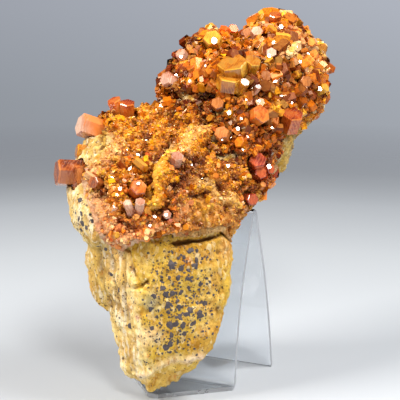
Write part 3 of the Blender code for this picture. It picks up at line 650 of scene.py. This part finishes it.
def grow(name, bed, count, seed, radius_scale, spread, lean, bevelled, by_size=0.0):
    """Crystals seeded over the bed; by_size > 0 crowds them where crystals are large, < 0 where small."""
    rng = np.random.default_rng(seed)
    me = bed.data
    outer = np.empty(len(me.vertices), np.float32)
    me.attributes["outer"].data.foreach_get("value", outer)
    height = np.empty(len(me.vertices), np.float32)
    me.attributes["height"].data.foreach_get("value", height)

    def keep(mid, nrm, tri):
        o = own(mid)
        _, radius, _, crowd = shares(o[:, 0], o[:, 1])
        return outer[tri].min(1) * crowd * (radius / 0.45) ** by_size

    pts, nrm, corner = sample_surface(me, count, rng, keep)
    o = own(pts)
    mix, radius, high, _ = shares(o[:, 0], o[:, 1])
    h = height[corner]
    r = radius * radius_scale * np.exp(rng.normal(0, spread, count))
    r = r * (1 - 0.2 * smoothstep(-h, 0.5, 2.0))
    if radius_scale > 1.5:
        r = r * (1 - 0.45 * near_trim(o[:, 0], o[:, 1]))
    hgt = r * high * (0.35 + 1.0 * rng.random(count) ** 1.5)
    axes = nrm + rng.normal(0, lean, (count, 3))
    flip = (axes * nrm).sum(1) < 0.1
    axes[flip] = nrm[flip]
    # painted shade in the hollows and painted light on the crests, carried by the palette
    mix = painted_light_by_height(mix, h) * (BLOCKY if radius_scale > 1.5 else 1)
    tint = crystal_tints(mix, pts / MM, rng, 0.15 if radius_scale > 1.5 else 0.42)
    # painted shade: crystals darken the deeper in a hollow they stand
    tint *= (0.22 + 0.78 * smoothstep(h, -1.9, 0.25))[:, None] ** REDDER
    me2 = prisms(name, pts, axes, r * MM, hgt * MM, (0.6 * r + 0.2) * MM, tint, rng.random(count), rng, bevelled=bevelled)
    return new_object(name, me2)


# Crystals whose flat ends catch a light: (u, v, radius in pixels)
GLINTS = [
    (138, 155, 2.2), (130, 169, 2.4), (138, 184, 2.4), (120, 189, 2.2), (112, 178, 1.8), (116, 207, 3.4), (166, 215, 2.0), (155, 217, 2.4), (150, 226, 2.4), (117, 195, 1.6),
    (214, 41, 4.4), (190, 82, 3.0), (161, 106, 2.6), (281, 27, 2.6), (273, 43, 2.8), (269, 56, 2.4), (275, 82, 2.4), (281, 96, 2.2), (259, 101, 1.8), (229, 113, 2.4),
    (241, 119, 1.8), (238, 129, 2.6), (232, 136, 3.4), (248, 137, 2.4), (272, 128, 1.8), (320, 89, 2.8), (114, 110, 2.0), (269, 167, 2.8), (251, 88, 2.0), (260, 137, 2.0),
    (300, 62, 2.0), (296, 47, 1.8), (308, 54, 1.8), (181, 57, 1.8), (246, 100, 1.2), (303, 106, 1.4), (292, 103, 1.4), (176, 75, 1.6), (205, 66, 1.6), (228, 166, 1.8),
    (243, 150, 1.2), (219, 152, 1.1), (236, 178, 1.2), (222, 140, 1.1), (246, 187, 1.2), (202, 178, 1.4), (192, 165, 1.2), (150, 168, 1.2), (146, 140, 1.0), (127, 150, 1.0),
]


def tree_of_all(objects):
    """One search tree over many pieces."""
    points, polygons, start = [], [], 0
    for o in objects:
        points += (verts_of(o.data) @ np.array(o.matrix_world.to_3x3()).T + np.array(o.matrix_world.translation)).tolist()
        polygons += [[start + i for i in f.vertices] for f in o.data.polygons]
        start = len(points)
    return BVHTree.FromPolygons(points, polygons)


def glints(surface):
    rng = np.random.default_rng(31)
    apex = PLACE @ (Vector((0, -FLARE, 0)) * MM)
    seats, axes, radii, where = [], [], [], []
    for i, (u, v, r) in enumerate(GLINTS):
        x, z = px(u, v)
        hit = surface.ray_cast(apex, (PLACE @ (Vector((x, 0, z)) * MM) - apex).normalized())[0]
        if hit is None:
            continue
        light = PLACE @ Vector((FRONT_BOX, FRONT_BOX, RIGHT_BOX)[i % 3])
        half = (apex - hit).normalized() + (light - hit).normalized()
        half = half.normalized() + Vector(rng.normal(0, 0.02, 3))
        seats.append(hit)
        axes.append(half)
        radii.append(r * 0.3)
        where.append((x, z))
    seats, axes, radii, where = np.array(seats), np.array(axes), np.array(radii), np.array(where)
    mix = shares(where[:, 0], where[:, 1])[0] * BLOCKY
    # the tint is pulled towards pale orange: a painted sheen around the real reflections
    tint = 0.6 * crystal_tints(mix, seats / MM, rng, 0.3) + 0.4 * np.array((0.95, 0.62, 0.36))
    me = prisms("crust_bright_crystals", seats, axes, radii * MM, (0.15 + 0.25 * radii) * MM, (1.0 + radii) * MM, tint, 0.05 * rng.random(len(seats)), rng, slant=0.0)
    return new_object("crust_bright_crystals", me)


# ------------------------------------------------------------------ materials
class Tree:
    """A material's node tree, with short calls."""

    def __init__(self, name):
        self.m = bpy.data.materials.new(name)
        self.m.use_nodes = True
        self.t = self.m.node_tree
        self.bsdf = self.t.nodes["Principled BSDF"]

    def node(self, kind, **values):
        n = self.t.nodes.new(kind)
        for k, v in values.items():
            if hasattr(n, k):
                setattr(n, k, v)
            else:
                n.inputs[k.replace("_", " ")].default_value = v
        return n

    def link(self, a, b):
        self.t.links.new(a, b)

    def attribute(self, name):
        return self.node("ShaderNodeAttribute", attribute_name=name)

    def coords(self):
        return self.node("ShaderNodeTexCoord").outputs["Object"]

    def noise(self, scale, detail=3.0, rough=0.55, vector=None):
        n = self.node("ShaderNodeTexNoise")
        n.inputs["Scale"].default_value = scale
        n.inputs["Detail"].default_value = detail
        n.inputs["Roughness"].default_value = rough
        self.link(vector or self.coords(), n.inputs["Vector"])
        return n

    def voronoi(self, scale, feature="F1", vector=None, randomness=1.0):
        n = self.node("ShaderNodeTexVoronoi")
        n.feature = feature
        n.inputs["Scale"].default_value = scale
        n.inputs["Randomness"].default_value = randomness
        self.link(vector or self.coords(), n.inputs["Vector"])
        return n

    def ramp(self, fac, stops):
        n = self.node("ShaderNodeValToRGB")
        e = n.color_ramp.elements
        while len(e) < len(stops):
            e.new(0.5)
        for el, (pos, col) in zip(e, stops):
            el.position = pos
            el.color = (*col, 1) if isinstance(col, tuple) else (col, col, col, 1)
        self.link(fac, n.inputs["Fac"])
        return n.outputs["Color"]

    def mix(self, fac, a, b, blend="MIX"):
        n = self.node("ShaderNodeMix")
        n.data_type = "RGBA"
        n.blend_type = blend
        for sock, val in ((n.inputs["Factor"], fac), (n.inputs[6], a), (n.inputs[7], b)):
            if isinstance(val, bpy.types.NodeSocket):
                self.link(val, sock)
            elif isinstance(val, tuple):
                sock.default_value = (*val, 1)
            else:
                sock.default_value = val
        return n.outputs[2]

    def math(self, op, a, b=0.0, clamp=False):
        n = self.node("ShaderNodeMath")
        n.operation = op
        n.use_clamp = clamp
        for sock, val in ((n.inputs[0], a), (n.inputs[1], b)):
            if isinstance(val, bpy.types.NodeSocket):
                self.link(val, sock)
            else:
                sock.default_value = val
        return n.outputs[0]

    def set(self, **sockets):
        for k, v in sockets.items():
            s = self.bsdf.inputs[k.replace("_", " ")]
            if isinstance(v, bpy.types.NodeSocket):
                self.link(v, s)
            elif isinstance(v, tuple):
                s.default_value = (*v, 1)
            else:
                s.default_value = v
        return self

    def node_channel(self, colour):
        """The red channel of a colour."""
        n = self.node("ShaderNodeSeparateColor")
        self.link(colour, n.inputs[0])
        return n.outputs[0]

    def bump(self, height, strength, distance):
        n = self.node("ShaderNodeBump")
        n.inputs["Strength"].default_value = strength
        n.inputs["Distance"].default_value = distance
        self.link(height, n.inputs["Height"])
        self.link(n.outputs["Normal"], self.bsdf.inputs["Normal"])


def specks(t, scale, size, stain, shift):
    """A mask of small irregular dots, thicker where the stain is."""
    warp = t.node("ShaderNodeVectorMath", operation="MULTIPLY_ADD")
    t.link(t.noise(1300, 2).outputs["Color"], warp.inputs[0])
    warp.inputs[1].default_value = (0.0011, 0.0011, 0.0011)
    t.link(t.coords(), warp.inputs[2])
    move = t.node("ShaderNodeVectorMath", operation="ADD")
    t.link(warp.outputs[0], move.inputs[0])
    move.inputs[1].default_value = (shift, shift, shift)
    vor = t.voronoi(scale, vector=move.outputs[0])
    odds = t.math("LESS_THAN", t.node_channel(vor.outputs["Color"]), stain)
    near = t.ramp(vor.outputs["Distance"], [(size * 0.75, 1.0), (size, 0.0)])
    return t.math("MULTIPLY", near, odds)


def rock_material():
    t = Tree("limonite_rock")
    big = t.noise(75, 4).outputs["Fac"]
    mid = t.noise(300, 5, 0.65).outputs["Fac"]
    fine = t.noise(1300, 4, 0.7).outputs["Fac"]
    tint = t.attribute("tint").outputs["Color"]
    stain = t.attribute("stain").outputs["Fac"]
    c = t.mix(t.ramp(big, [(0.36, 0.65), (0.52, 0.0)]), tint, t.mix(1.0, tint, (0.82, 0.62, 0.42), "MULTIPLY"))
    c = t.mix(t.ramp(big, [(0.50, 0.0), (0.66, 0.45)]), c, (0.90, 0.61, 0.10))
    c = t.mix(t.ramp(mid, [(0.54, 0.0), (0.66, 0.55)]), c, (0.93, 0.72, 0.26))
    c = t.mix(t.ramp(mid, [(0.34, 0.75), (0.46, 0.0)]), c, (0.54, 0.25, 0.020))
    # crumbly grain, drawn out upwards
    long = t.node("ShaderNodeMapping")
    long.inputs["Scale"].default_value = (1, 1, 0.5)
    t.link(t.coords(), long.inputs["Vector"])
    grain = t.node_channel(t.voronoi(1250, vector=long.outputs[0]).outputs["Color"])
    patchy = t.ramp(t.noise(210, 3).outputs["Fac"], [(0.40, 0.35), (0.60, 1.0)])
    c = t.mix(t.math("MULTIPLY", patchy, t.ramp(grain, [(0.02, 0.60), (0.30, 0.0)])), c, t.mix(1.0, c, (0.60, 0.38, 0.18), "MULTIPLY"))
    c = t.mix(t.math("MULTIPLY", patchy, t.ramp(grain, [(0.70, 0.0), (1.0, 0.65)])), c, (0.97, 0.83, 0.50))
    # stretched streaks down the left side
    streak = t.node("ShaderNodeMapping")
    streak.inputs["Scale"].default_value = (1, 1, 0.16)
    t.link(t.coords(), streak.inputs["Vector"])
    lines = t.noise(620, 3, 0.6, vector=streak.outputs[0]).outputs["Fac"]
    left = t.attribute("left").outputs["Fac"]
    c = t.mix(t.math("MULTIPLY", left, t.ramp(lines, [(0.50, 0.0), (0.62, 0.75)])), c, (0.78, 0.50, 0.12))
    c = t.mix(t.math("MULTIPLY", left, t.ramp(lines, [(0.38, 0.7), (0.46, 0.0)])), c, (0.97, 0.88, 0.66))
    # rusty flecks, then manganese specks of two sizes
    c = t.mix(t.ramp(t.noise(520, 3, 0.6).outputs["Fac"], [(0.66, 0.0), (0.72, 0.7)]), c, (0.66, 0.26, 0.05))
    c = t.mix(t.math("MULTIPLY", specks(t, 900, 0.36, t.math("MULTIPLY", stain, 0.75), 0.3), 0.85), c, (0.085, 0.060, 0.050))
    c = t.mix(t.math("MULTIPLY", specks(t, 1500, 0.34, t.math("ADD", t.math("MULTIPLY", stain, 0.4), 0.10), 0.7), 0.75), c, (0.14, 0.085, 0.045))
    # painted shade: creases and low places darken
    high = t.attribute("height").outputs["Fac"]
    crease_shade = t.ramp(t.math("ADD", high, 2.0), [(0.35, 0.92), (0.95, 0.30), (1.35, 0.0)])
    crease_shade = t.math("MULTIPLY", crease_shade, t.math("SUBTRACT", 1.0, t.math("MULTIPLY", left, 0.6)))
    c = t.mix(crease_shade, c, (0.17, 0.070, 0.014))
    c = t.mix(t.ramp(fine, [(0.36, 0.45), (0.50, 0.0)]), c, t.mix(1.0, c, (0.60, 0.46, 0.30), "MULTIPLY"))
    t.set(Base_Color=c, Roughness=t.ramp(fine, [(0.3, 0.62), (0.7, 0.92)]), Specular_IOR_Level=0.2)
    height = t.math("ADD", t.math("ADD", t.math("MULTIPLY", fine, 0.9), t.math("MULTIPLY", mid, 1.2)), t.math("MULTIPLY", grain, 0.35))
    t.bump(height, 0.9, 0.0005)
    return t.m


def bed_material():
    t = Tree("crust_bed")
    tint = t.attribute("tint").outputs["Color"]
    mid = t.noise(420, 4, 0.6).outputs["Fac"]
    c = t.mix(t.ramp(mid, [(0.45, 0.0), (0.65, 0.5)]), tint, t.mix(1.0, tint, (0.60, 0.42, 0.34), "MULTIPLY"))
    # painted shade in the gaps between the tiny crystals, weaker on bare ground
    v = t.voronoi(1400)
    gap_shade = t.math("MULTIPLY", t.ramp(v.outputs["Distance"], [(0.15, 0.0), (0.5, 0.75)]), t.math("SUBTRACT", 1.0, t.math("MULTIPLY", t.attribute("bare").outputs["Fac"], 0.6)))
    c = t.mix(gap_shade, c, t.mix(1.0, tint, (0.46, 0.28, 0.20), "MULTIPLY"))
    c = t.mix(t.ramp(t.noise(700, 3).outputs["Fac"], [(0.56, 0.0), (0.68, 0.6)]), c, t.mix(0.5, tint, (0.98, 0.78, 0.45)))
    t.set(Base_Color=c, Roughness=t.ramp(mid, [(0.3, 0.50), (0.7, 0.8)]), Specular_IOR_Level=0.3)
    t.bump(v.outputs["Distance"], 0.7, 0.0004)
    return t.m


def small_crystal_material():
    t = Tree("vanadinite_small")
    tint = t.attribute("tint").outputs["Color"]
    mottle = t.noise(1100, 3, 0.6).outputs["Fac"]
    face = t.attribute("facet").outputs["Fac"]
    dark = t.mix(1.0, tint, (0.42, 0.24, 0.20), "MULTIPLY")
    # painted light and shade: each face is darkened or lightened by its facet value
    c = t.mix(t.ramp(face, [(0.05, 0.85), (0.55, 0.0)]), tint, dark)
    c = t.mix(t.ramp(face, [(0.62, 0.0), (1.0, 0.40)]), c, t.mix(0.55, tint, (1.0, 0.66, 0.16)))
    c = t.mix(t.ramp(mottle, [(0.36, 0.7), (0.52, 0.0)]), c, t.mix(1.0, c, (0.55, 0.36, 0.30), "MULTIPLY"))
    c = t.mix(t.ramp(mottle, [(0.62, 0.0), (0.80, 0.30)]), c, (0.98, 0.66, 0.15))
    t.set(Base_Color=c, Roughness=t.ramp(t.attribute("tone").outputs["Fac"], [(0.0, 0.04), (0.35, 0.14), (1.0, 0.50)]), IOR=1.52, Specular_Tint=(1.0, 0.74, 0.52))
    t.bump(t.noise(2600, 2).outputs["Fac"], 0.07, 0.0001)
    return t.m


def bright_crystal_material():
    t = Tree("vanadinite_bright")
    tint = t.attribute("tint").outputs["Color"]
    mottle = t.noise(1500, 3, 0.6).outputs["Fac"]
    c = t.mix(t.ramp(mottle, [(0.38, 0.7), (0.56, 0.0)]), tint, t.mix(1.0, tint, (0.62, 0.40, 0.34), "MULTIPLY"))
    t.set(Base_Color=c, Roughness=t.ramp(mottle, [(0.4, 0.05), (0.7, 0.12)]), IOR=2.2)
    return t.m


def large_crystal_material(name, deep, mid, light, dust, trans):
    """A single crystal: growth zoning, striae, a dusting of pale powder, and painted light and shade face by face."""
    t = Tree(name)
    z = t.noise(240, 4, 0.6).outputs["Fac"]
    c = t.ramp(z, [(0.39, deep), (0.50, mid), (0.62, light)])
    streak = t.node("ShaderNodeTexWave")
    streak.inputs["Scale"].default_value = 420
    streak.inputs["Distortion"].default_value = 9.0
    streak.inputs["Detail"].default_value = 3.0
    t.link(t.coords(), streak.inputs["Vector"])
    c = t.mix(t.ramp(streak.outputs["Fac"], [(0.55, 0.0), (1.0, 0.45)]), c, light)
    c = t.mix(t.ramp(t.noise(1300, 4, 0.7).outputs["Fac"], [(0.58, 0.0), (0.74, dust)]), c, (0.86, 0.60, 0.36))
    # painted light and shade: each face is darkened or lightened by the direction it faces
    side = t.node("ShaderNodeTexCoord").outputs["Normal"]
    face = t.noise(1.7, 0, vector=side).outputs["Fac"]
    c = t.mix(t.ramp(face, [(0.36, 0.75), (0.50, 0.0)]), c, t.mix(1.0, c, (0.52, 0.34, 0.28), "MULTIPLY"))
    c = t.mix(t.ramp(face, [(0.54, 0.0), (0.70, 0.4)]), c, light)
    c = t.mix(t.ramp(z, [(0.56, 0.0), (0.62, 0.5)]), c, t.mix(1.0, c, (0.60, 0.42, 0.36), "MULTIPLY"))
    t.set(Base_Color=c, Roughness=t.ramp(t.noise(420, 3).outputs["Fac"], [(0.36, 0.07), (0.66, 0.24)]), IOR=1.75)
    t.set(Transmission_Weight=trans)
    t.bump(streak.outputs["Fac"], 0.06, 0.0002)
    return t.m


def spot_material():
    t = Tree("manganese_spots")
    m = t.noise(1500, 3).outputs["Fac"]
    c = t.ramp(m, [(0.3, (0.045, 0.034, 0.036)), (0.7, (0.11, 0.088, 0.095))])
    t.set(Base_Color=c, Roughness=t.ramp(m, [(0.3, 0.45), (0.7, 0.7)]))
    t.bump(m, 0.4, 0.0001)
    return t.m


def easel_material(me):
    """Clear acrylic, its sawn edges frosted: their normals run across the sheet."""
    t = Tree("clear_sheet")
    scuff = t.noise(160, 4, 0.6).outputs["Fac"]
    sep = t.node("ShaderNodeSeparateXYZ")
    t.link(t.node("ShaderNodeTexCoord").outputs["Normal"], sep.inputs[0])
    side = t.ramp(t.math("ABSOLUTE", sep.outputs["X"]), [(0.5, 0.0), (0.8, 1.0)])
    spot = t.node("ShaderNodeSeparateXYZ")
    t.link(t.coords(), spot.inputs[0])
    ends = t.math("LESS_THAN", spot.outputs["Y"], float(verts_of(me)[:, 1].min()) + 0.0002)
    edge = t.math("MAXIMUM", side, ends)
    t.set(Base_Color=t.mix(edge, (0.90, 0.925, 0.95), (0.60, 0.63, 0.68)), Roughness=t.math("ADD", t.ramp(scuff, [(0.5, 0.015), (0.85, 0.08)]), t.math("MULTIPLY", edge, 0.35)))
    t.set(IOR=1.49, Transmission_Weight=t.math("SUBTRACT", 1.0, t.math("MULTIPLY", edge, 0.60)))
    return t.m


# ------------------------------------------------------------------ manganese spots
# (u, v, radius in pixels), on the front of the column
SPOTS = [
    (190, 250, 3.6), (172, 265, 3.9), (180, 268, 3.2), (196, 261, 2.6), (196, 266, 2.6), (189, 270, 2.2), (179, 278, 2.2), (170, 277, 1.9), (188, 279, 2.5), (192, 277, 2.0),
    (163, 288, 3.0), (166, 294, 3.2), (172, 294, 2.4), (181, 293, 2.4), (200, 284, 2.4), (154, 296, 2.2), (151, 308, 2.5), (168, 305, 3.6), (179, 308, 3.4), (191, 310, 2.9),
    (204, 302, 2.6), (200, 315, 4.2), (168, 313, 2.6), (162, 315, 1.8), (186, 315, 2.6), (179, 317, 2.6), (193, 323, 2.6), (183, 326, 2.8), (170, 326, 3.4), (175, 324, 2.4),
    (184, 334, 2.2), (172, 335, 2.8), (177, 342, 2.6), (170, 344, 3.6), (166, 348, 3.0), (130, 326, 2.8), (111, 274, 1.8), (118, 291, 1.8), (162, 277, 1.8), (163, 282, 1.6),
    (178, 258, 1.8), (184, 257, 1.9), (207, 257, 1.8), (197, 251, 1.5), (172, 251, 1.4), (178, 301, 1.8), (188, 288, 1.6), (173, 284, 1.2), (180, 283, 1.3), (206, 278, 1.6),
    (210, 282, 1.6), (199, 289, 1.3), (212, 315, 1.3), (156, 317, 1.8), (152, 328, 2.0), (160, 324, 1.4), (176, 352, 1.6), (170, 352, 1.5), (162, 353, 1.2), (147, 362, 1.0),
    (207, 338, 1.2), (213, 333, 1.3), (155, 341, 1.0), (138, 350, 0.9), (143, 300, 1.0), (82, 214, 2.6), (79, 219, 2.6), (83, 224, 3.0), (86, 228, 2.6), (81, 230, 2.2),
    (80, 200, 2.4), (92, 221, 1.8), (76, 213, 1.4), (90, 215, 1.5), (105, 249, 1.9), (98, 246, 1.4), (157, 334, 1.0), (163, 331, 1.2), (192, 332, 1.0), (180, 330, 1.3),
    (148, 284, 0.9), (165, 258, 0.9), (184, 273, 1.2), (175, 269, 1.0), (204, 290, 1.0), (208, 293, 1.4), (217, 291, 1.0), (196, 296, 1.0), (158, 348, 1.0), (187, 342, 1.0),
]


def column_edge_px(v):
    return 200 + float(column_edge(np.array([(200 - v) * 0.3]))[0]) / 0.3


def make_spots(rock_tree):
    rng = np.random.default_rng(11)
    bm = bmesh.new()
    apex = PLACE @ (Vector((0, -FLARE, 0)) * MM)
    extra = []
    for _ in range(210):
        u, v = rng.normal(184, 17), rng.normal(298, 31)
        if 140 < u < 222 and 247 < v < 358 and u > column_edge_px(v) + 4:
            extra.append((u, v, 0.6 + 0.9 * rng.random()))
    for u, v, r in [(a + rng.normal(0, 0.3), b + rng.normal(0, 0.3), c * 1.10) for a, b, c in SPOTS] + extra:
        x, z = px(u, v)
        target = PLACE @ (Vector((x, 0, z)) * MM)
        hit, nor, _, _ = rock_tree.ray_cast(apex, (target - apex).normalized())
        if hit is None:
            continue
        side = nor.orthogonal().normalized()
        other = nor.cross(side)
        rad = r * 0.3 * MM
        rings = []
        wob = rng.random(12) * 1.0 + 0.5
        wob = (wob + 0.7 * np.roll(wob, 1)) / 1.7
        for ring, f in enumerate((0.0, 0.55, 0.95, 1.08)):
            count = 1 if ring == 0 else 12
            row = []
            for k in range(count):
                a = 2 * math.pi * k / 12
                q = hit + (side * math.cos(a) + other * math.sin(a)) * rad * f * (1 if ring == 0 else wob[k])
                h2, n2, _, _ = rock_tree.find_nearest(q)
                lift = (0.13, 0.12, 0.07, -0.10)[ring] * MM
                row.append(bm.verts.new(h2 + n2 * lift))
            rings.append(row)
        for k in range(12):
            bm.faces.new((rings[0][0], rings[1][k], rings[1][(k + 1) % 12]))
        for lo, hi in ((1, 2), (2, 3)):
            for k in range(12):
                bm.faces.new((rings[lo][k], rings[hi][k], rings[hi][(k + 1) % 12], rings[lo][(k + 1) % 12]))
    me = bpy.data.meshes.new("manganese_spots")
    bm.to_mesh(me)
    bm.free()
    me.shade_smooth()
    return new_object("manganese_spots", me)


# ------------------------------------------------------------------ build
def tree_of(o):
    bm = bmesh.new()
    bm.from_mesh(o.data)
    t = BVHTree.FromBMesh(bm)
    bm.free()
    return t


def dress(o, material, slot, *replaced):
    o.data.materials.clear()
    o.data.materials.append(material)
    if replaced:
        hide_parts(*replaced)
    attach(o, "root")
    return o


rock = make_rock()
rock_tree = tree_of(rock)
bed = make_bed(rock_tree)
dress(rock, rock_material(), "limonite_matrix", "matrix")
dress(bed, bed_material(), "vanadinite_crust", "druse")
dress(make_spots(rock_tree), spot_material(), "limonite_matrix")

small = small_crystal_material()
for name, count, seed, scale, spread, lean, bevelled, by_size in (
    ("crust_sugar_crystals_a", 10500, 21, 0.62, 0.28, 0.9, False, -2.0),
    ("crust_sugar_crystals_b", 9500, 24, 0.72, 0.30, 0.9, False, 0.0),
    ("crust_small_crystals", 5600, 22, 1.10, 0.30, 0.7, True, 0.5),
    ("crust_blocky_crystals", 1500, 23, 1.9, 0.28, 0.55, True, 3.5),
    ("crust_large_crystals", 300, 27, 2.6, 0.20, 0.5, True, 5.0),
    ("crust_scattered_crystals", 420, 25, 2.1, 0.22, 0.6, True, -0.5),
):
    dress(grow(name, bed, count, seed, scale, spread, lean, bevelled, by_size), small, "vanadinite_crust", "druse")

crust = [o for o in SCENE.objects if o.name.startswith("crust_") and "sugar" not in o.name]
dress(glints(tree_of_all(crust + [o for n, o in NODES.items() if n.startswith(("crystal", "plate"))])), bright_crystal_material(), "vanadinite_crust", "druse")

LARGE = {
    "vanadinite_amber": large_crystal_material("vanadinite_amber", (0.34, 0.085, 0.004), (0.80, 0.29, 0.008), (0.97, 0.60, 0.08), 0.30, 0.22),
    "vanadinite_red": large_crystal_material("vanadinite_red", (0.30, 0.026, 0.004), (0.66, 0.105, 0.010), (0.90, 0.32, 0.05), 0.22, 0.15),
    "vanadinite_pale": large_crystal_material("vanadinite_pale", (0.60, 0.21, 0.09), (0.76, 0.39, 0.25), (0.90, 0.65, 0.50), 0.4, 0.12),
    "vanadinite_brown": large_crystal_material("vanadinite_brown", (0.16, 0.026, 0.005), (0.44, 0.095, 0.010), (0.78, 0.30, 0.08), 0.42, 0.12),
}
ruby = large_crystal_material("vanadinite_ruby", (0.22, 0.010, 0.003), (0.46, 0.034, 0.007), (0.82, 0.20, 0.06), 0.16, 0.15)
pale = LARGE["vanadinite_pale"].copy()
pale.name = "vanadinite_pale_to_orange"
tree = pale.node_tree
across = tree.nodes.new("ShaderNodeVectorMath")
across.operation = "DOT_PRODUCT"
tree.links.new(tree.nodes.new("ShaderNodeTexCoord").outputs["Object"], across.inputs[0])
across.inputs[1].default_value = (PLACE_3 @ Vector((1, 0, 0.35))) / MM
spread = own(verts_of(NODES["crystal_left_pale"].data))
lo, hi = [float(q @ np.array(PLACE_3 @ Vector((1, 0, 0.35)))) / MM for q in verts_of(NODES["crystal_left_pale"].data)[[int(spread[:, 0].argmin()), int(spread[:, 0].argmax())]]]
ease = tree.nodes.new("ShaderNodeMapRange")
tree.links.new(across.outputs["Value"], ease.inputs["Value"])
ease.inputs["From Min"].default_value = lo + 0.28 * (hi - lo)
ease.inputs["From Max"].default_value = lo + 0.62 * (hi - lo)
blend = tree.nodes.new("ShaderNodeMix")
blend.data_type = "RGBA"
blend.inputs[7].default_value = (0.88, 0.27, 0.06, 1)
tree.links.new(ease.outputs["Result"], blend.inputs["Factor"])
shader = tree.nodes["Principled BSDF"]
tree.links.new(shader.inputs["Base Color"].links[0].from_socket, blend.inputs[6])
tree.links.new(blend.outputs[2], shader.inputs["Base Color"])

for part in frame["record"]["subparts"]:
    node, slot = part["node"], part["material_slot"]
    if slot in LARGE:
        o = NODES[node]
        o.data.materials.clear()
        o.data.materials.append({"crystal_left_pale": pale, "crystals_ruby": ruby, "crystal_ledge_red": ruby}.get(node, LARGE[slot]))
        b = o.modifiers.new("worn edges", "BEVEL")
        b.width = 0.10 * MM
        b.segments = 2
        b.limit_method = "ANGLE"
        b.angle_limit = math.radians(25)
easel = NODES["display_easel"]
easel.data.materials.clear()
easel.data.materials.append(easel_material(easel.data))

# ------------------------------------------------------------------ stage
FLOOR = -0.00015


def floor():
    """A round pale floor that fades out into the grey surroundings, its colour darker outwards: painted fall-off of the
    light.
    """
    bm = bmesh.new()
    rings = [[bm.verts.new((0, 0, FLOOR))]]
    for r in (0.06, 0.12, 0.18, 0.24, 0.30, 0.38, 0.46, 0.54):
        rings.append([bm.verts.new((r * math.cos(k * math.pi / 32), r * math.sin(k * math.pi / 32), FLOOR)) for k in range(64)])
    for k in range(64):
        bm.faces.new((rings[0][0], rings[1][k], rings[1][(k + 1) % 64]))
        for lo, hi in zip(rings[1:-1], rings[2:]):
            bm.faces.new((lo[k], hi[k], hi[(k + 1) % 64], lo[(k + 1) % 64]))
    me = bpy.data.meshes.new("floor")
    bm.to_mesh(me)
    bm.free()
    o = new_object("floor", me)
    t = Tree("floor")
    out = t.node("ShaderNodeVectorMath", operation="LENGTH")
    t.link(t.coords(), out.inputs[0])
    r = out.outputs["Value"]
    # painted light: paler near the stone, darker outwards
    c = t.ramp(r, [(0.0, (0.53, 0.575, 0.64)), (0.17, (0.465, 0.51, 0.565)), (0.26, (0.38, 0.42, 0.475)), (0.34, (0.27, 0.30, 0.345)), (0.50, (0.25, 0.28, 0.33))])
    c = t.mix(t.ramp(t.noise(6.0, 3).outputs["Fac"], [(0.4, 0.0), (0.8, 0.05)]), c, (0.70, 0.70, 0.72))
    t.set(Base_Color=c, Roughness=0.6, Alpha=t.ramp(r, [(0.26, 1.0), (0.50, 0.0)]))
    me.materials.append(t.m)


def area_light(name, size, energy, place, target, colour=(1, 1, 1)):
    d = bpy.data.lights.new(name, "AREA")
    d.shape = "RECTANGLE"
    d.size, d.size_y = size
    d.energy = energy
    d.color = colour
    o = bpy.data.objects.new(name, d)
    SCENE.collection.objects.link(o)
    o.location = PLACE @ Vector(place)
    aim = (PLACE @ Vector(target)) - o.location
    o.rotation_euler = aim.to_track_quat("-Z", "Y").to_euler()
    return o


floor()
for name, size, energy, place, colour in (
    ("left_box", 0.24, 4.7, LEFT_BOX, (1.0, 0.93, 0.84)),
    ("right_box", 0.30, 4.5, RIGHT_BOX, (1.0, 0.96, 0.90)),
    ("front_box", 0.14, 2.2, FRONT_BOX, (1.0, 0.95, 0.88)),
):
    area_light(name, (size, size), energy, place, (0, 0, 0), colour)


def surroundings():
    """A grey studio, darkest just below the horizon; brighter towards one side."""
    world = bpy.data.worlds.new("studio")
    SCENE.world = world
    world.use_nodes = True
    tree = world.node_tree
    coords = tree.nodes.new("ShaderNodeTexCoord")
    sep = tree.nodes.new("ShaderNodeSeparateXYZ")
    tree.links.new(coords.outputs["Generated"], sep.inputs[0])
    up = tree.nodes.new("ShaderNodeMath")
    up.operation = "MULTIPLY_ADD"
    tree.links.new(sep.outputs["Z"], up.inputs[0])
    up.inputs[1].default_value = 0.5
    up.inputs[2].default_value = 0.5
    ramp = tree.nodes.new("ShaderNodeValToRGB")
    tree.links.new(up.outputs[0], ramp.inputs["Fac"])
    stops = [(0.0, (0.31, 0.33, 0.365)), (0.405, (0.305, 0.325, 0.36)), (0.43, (0.33, 0.355, 0.395)), (0.46, (0.39, 0.415, 0.47)), (0.52, (0.36, 0.38, 0.42)), (0.60, (0.18, 0.18, 0.19)), (1.0, (0.16, 0.16, 0.17))]
    e = ramp.color_ramp.elements
    while len(e) < len(stops):
        e.new(0.5)
    for el, (pos, col) in zip(e, stops):
        el.position = pos
        el.color = (*col, 1)
    side = tree.nodes.new("ShaderNodeVectorMath")
    side.operation = "DOT_PRODUCT"
    tree.links.new(coords.outputs["Generated"], side.inputs[0])
    side.inputs[1].default_value = (0.883 * 0.85, 0.469 * 0.85, 0)
    gain = tree.nodes.new("ShaderNodeMath")
    gain.operation = "ADD"
    tree.links.new(side.outputs["Value"], gain.inputs[0])
    gain.inputs[1].default_value = 1.0
    limit = tree.nodes.new("ShaderNodeClamp")
    tree.links.new(gain.outputs[0], limit.inputs["Value"])
    limit.inputs["Min"].default_value = 0.85
    limit.inputs["Max"].default_value = 1.15
    back = tree.nodes["Background"]
    tree.links.new(ramp.outputs["Color"], back.inputs["Color"])
    tree.links.new(limit.outputs["Result"], back.inputs["Strength"])


surroundings()

cam_data = bpy.data.cameras.new("camera")
cam_data.sensor_width = 36
cam_data.lens = 36 * 1600 / 400
cam_data.clip_end = 20
camera = bpy.data.objects.new("camera", cam_data)
SCENE.collection.objects.link(camera)
camera.matrix_world = PLACE @ Matrix.Translation((0, -0.480, 0)) @ Matrix.Rotation(math.radians(90), 4, "X")
SCENE.camera = camera
SCENE.view_settings.view_transform = "Standard"
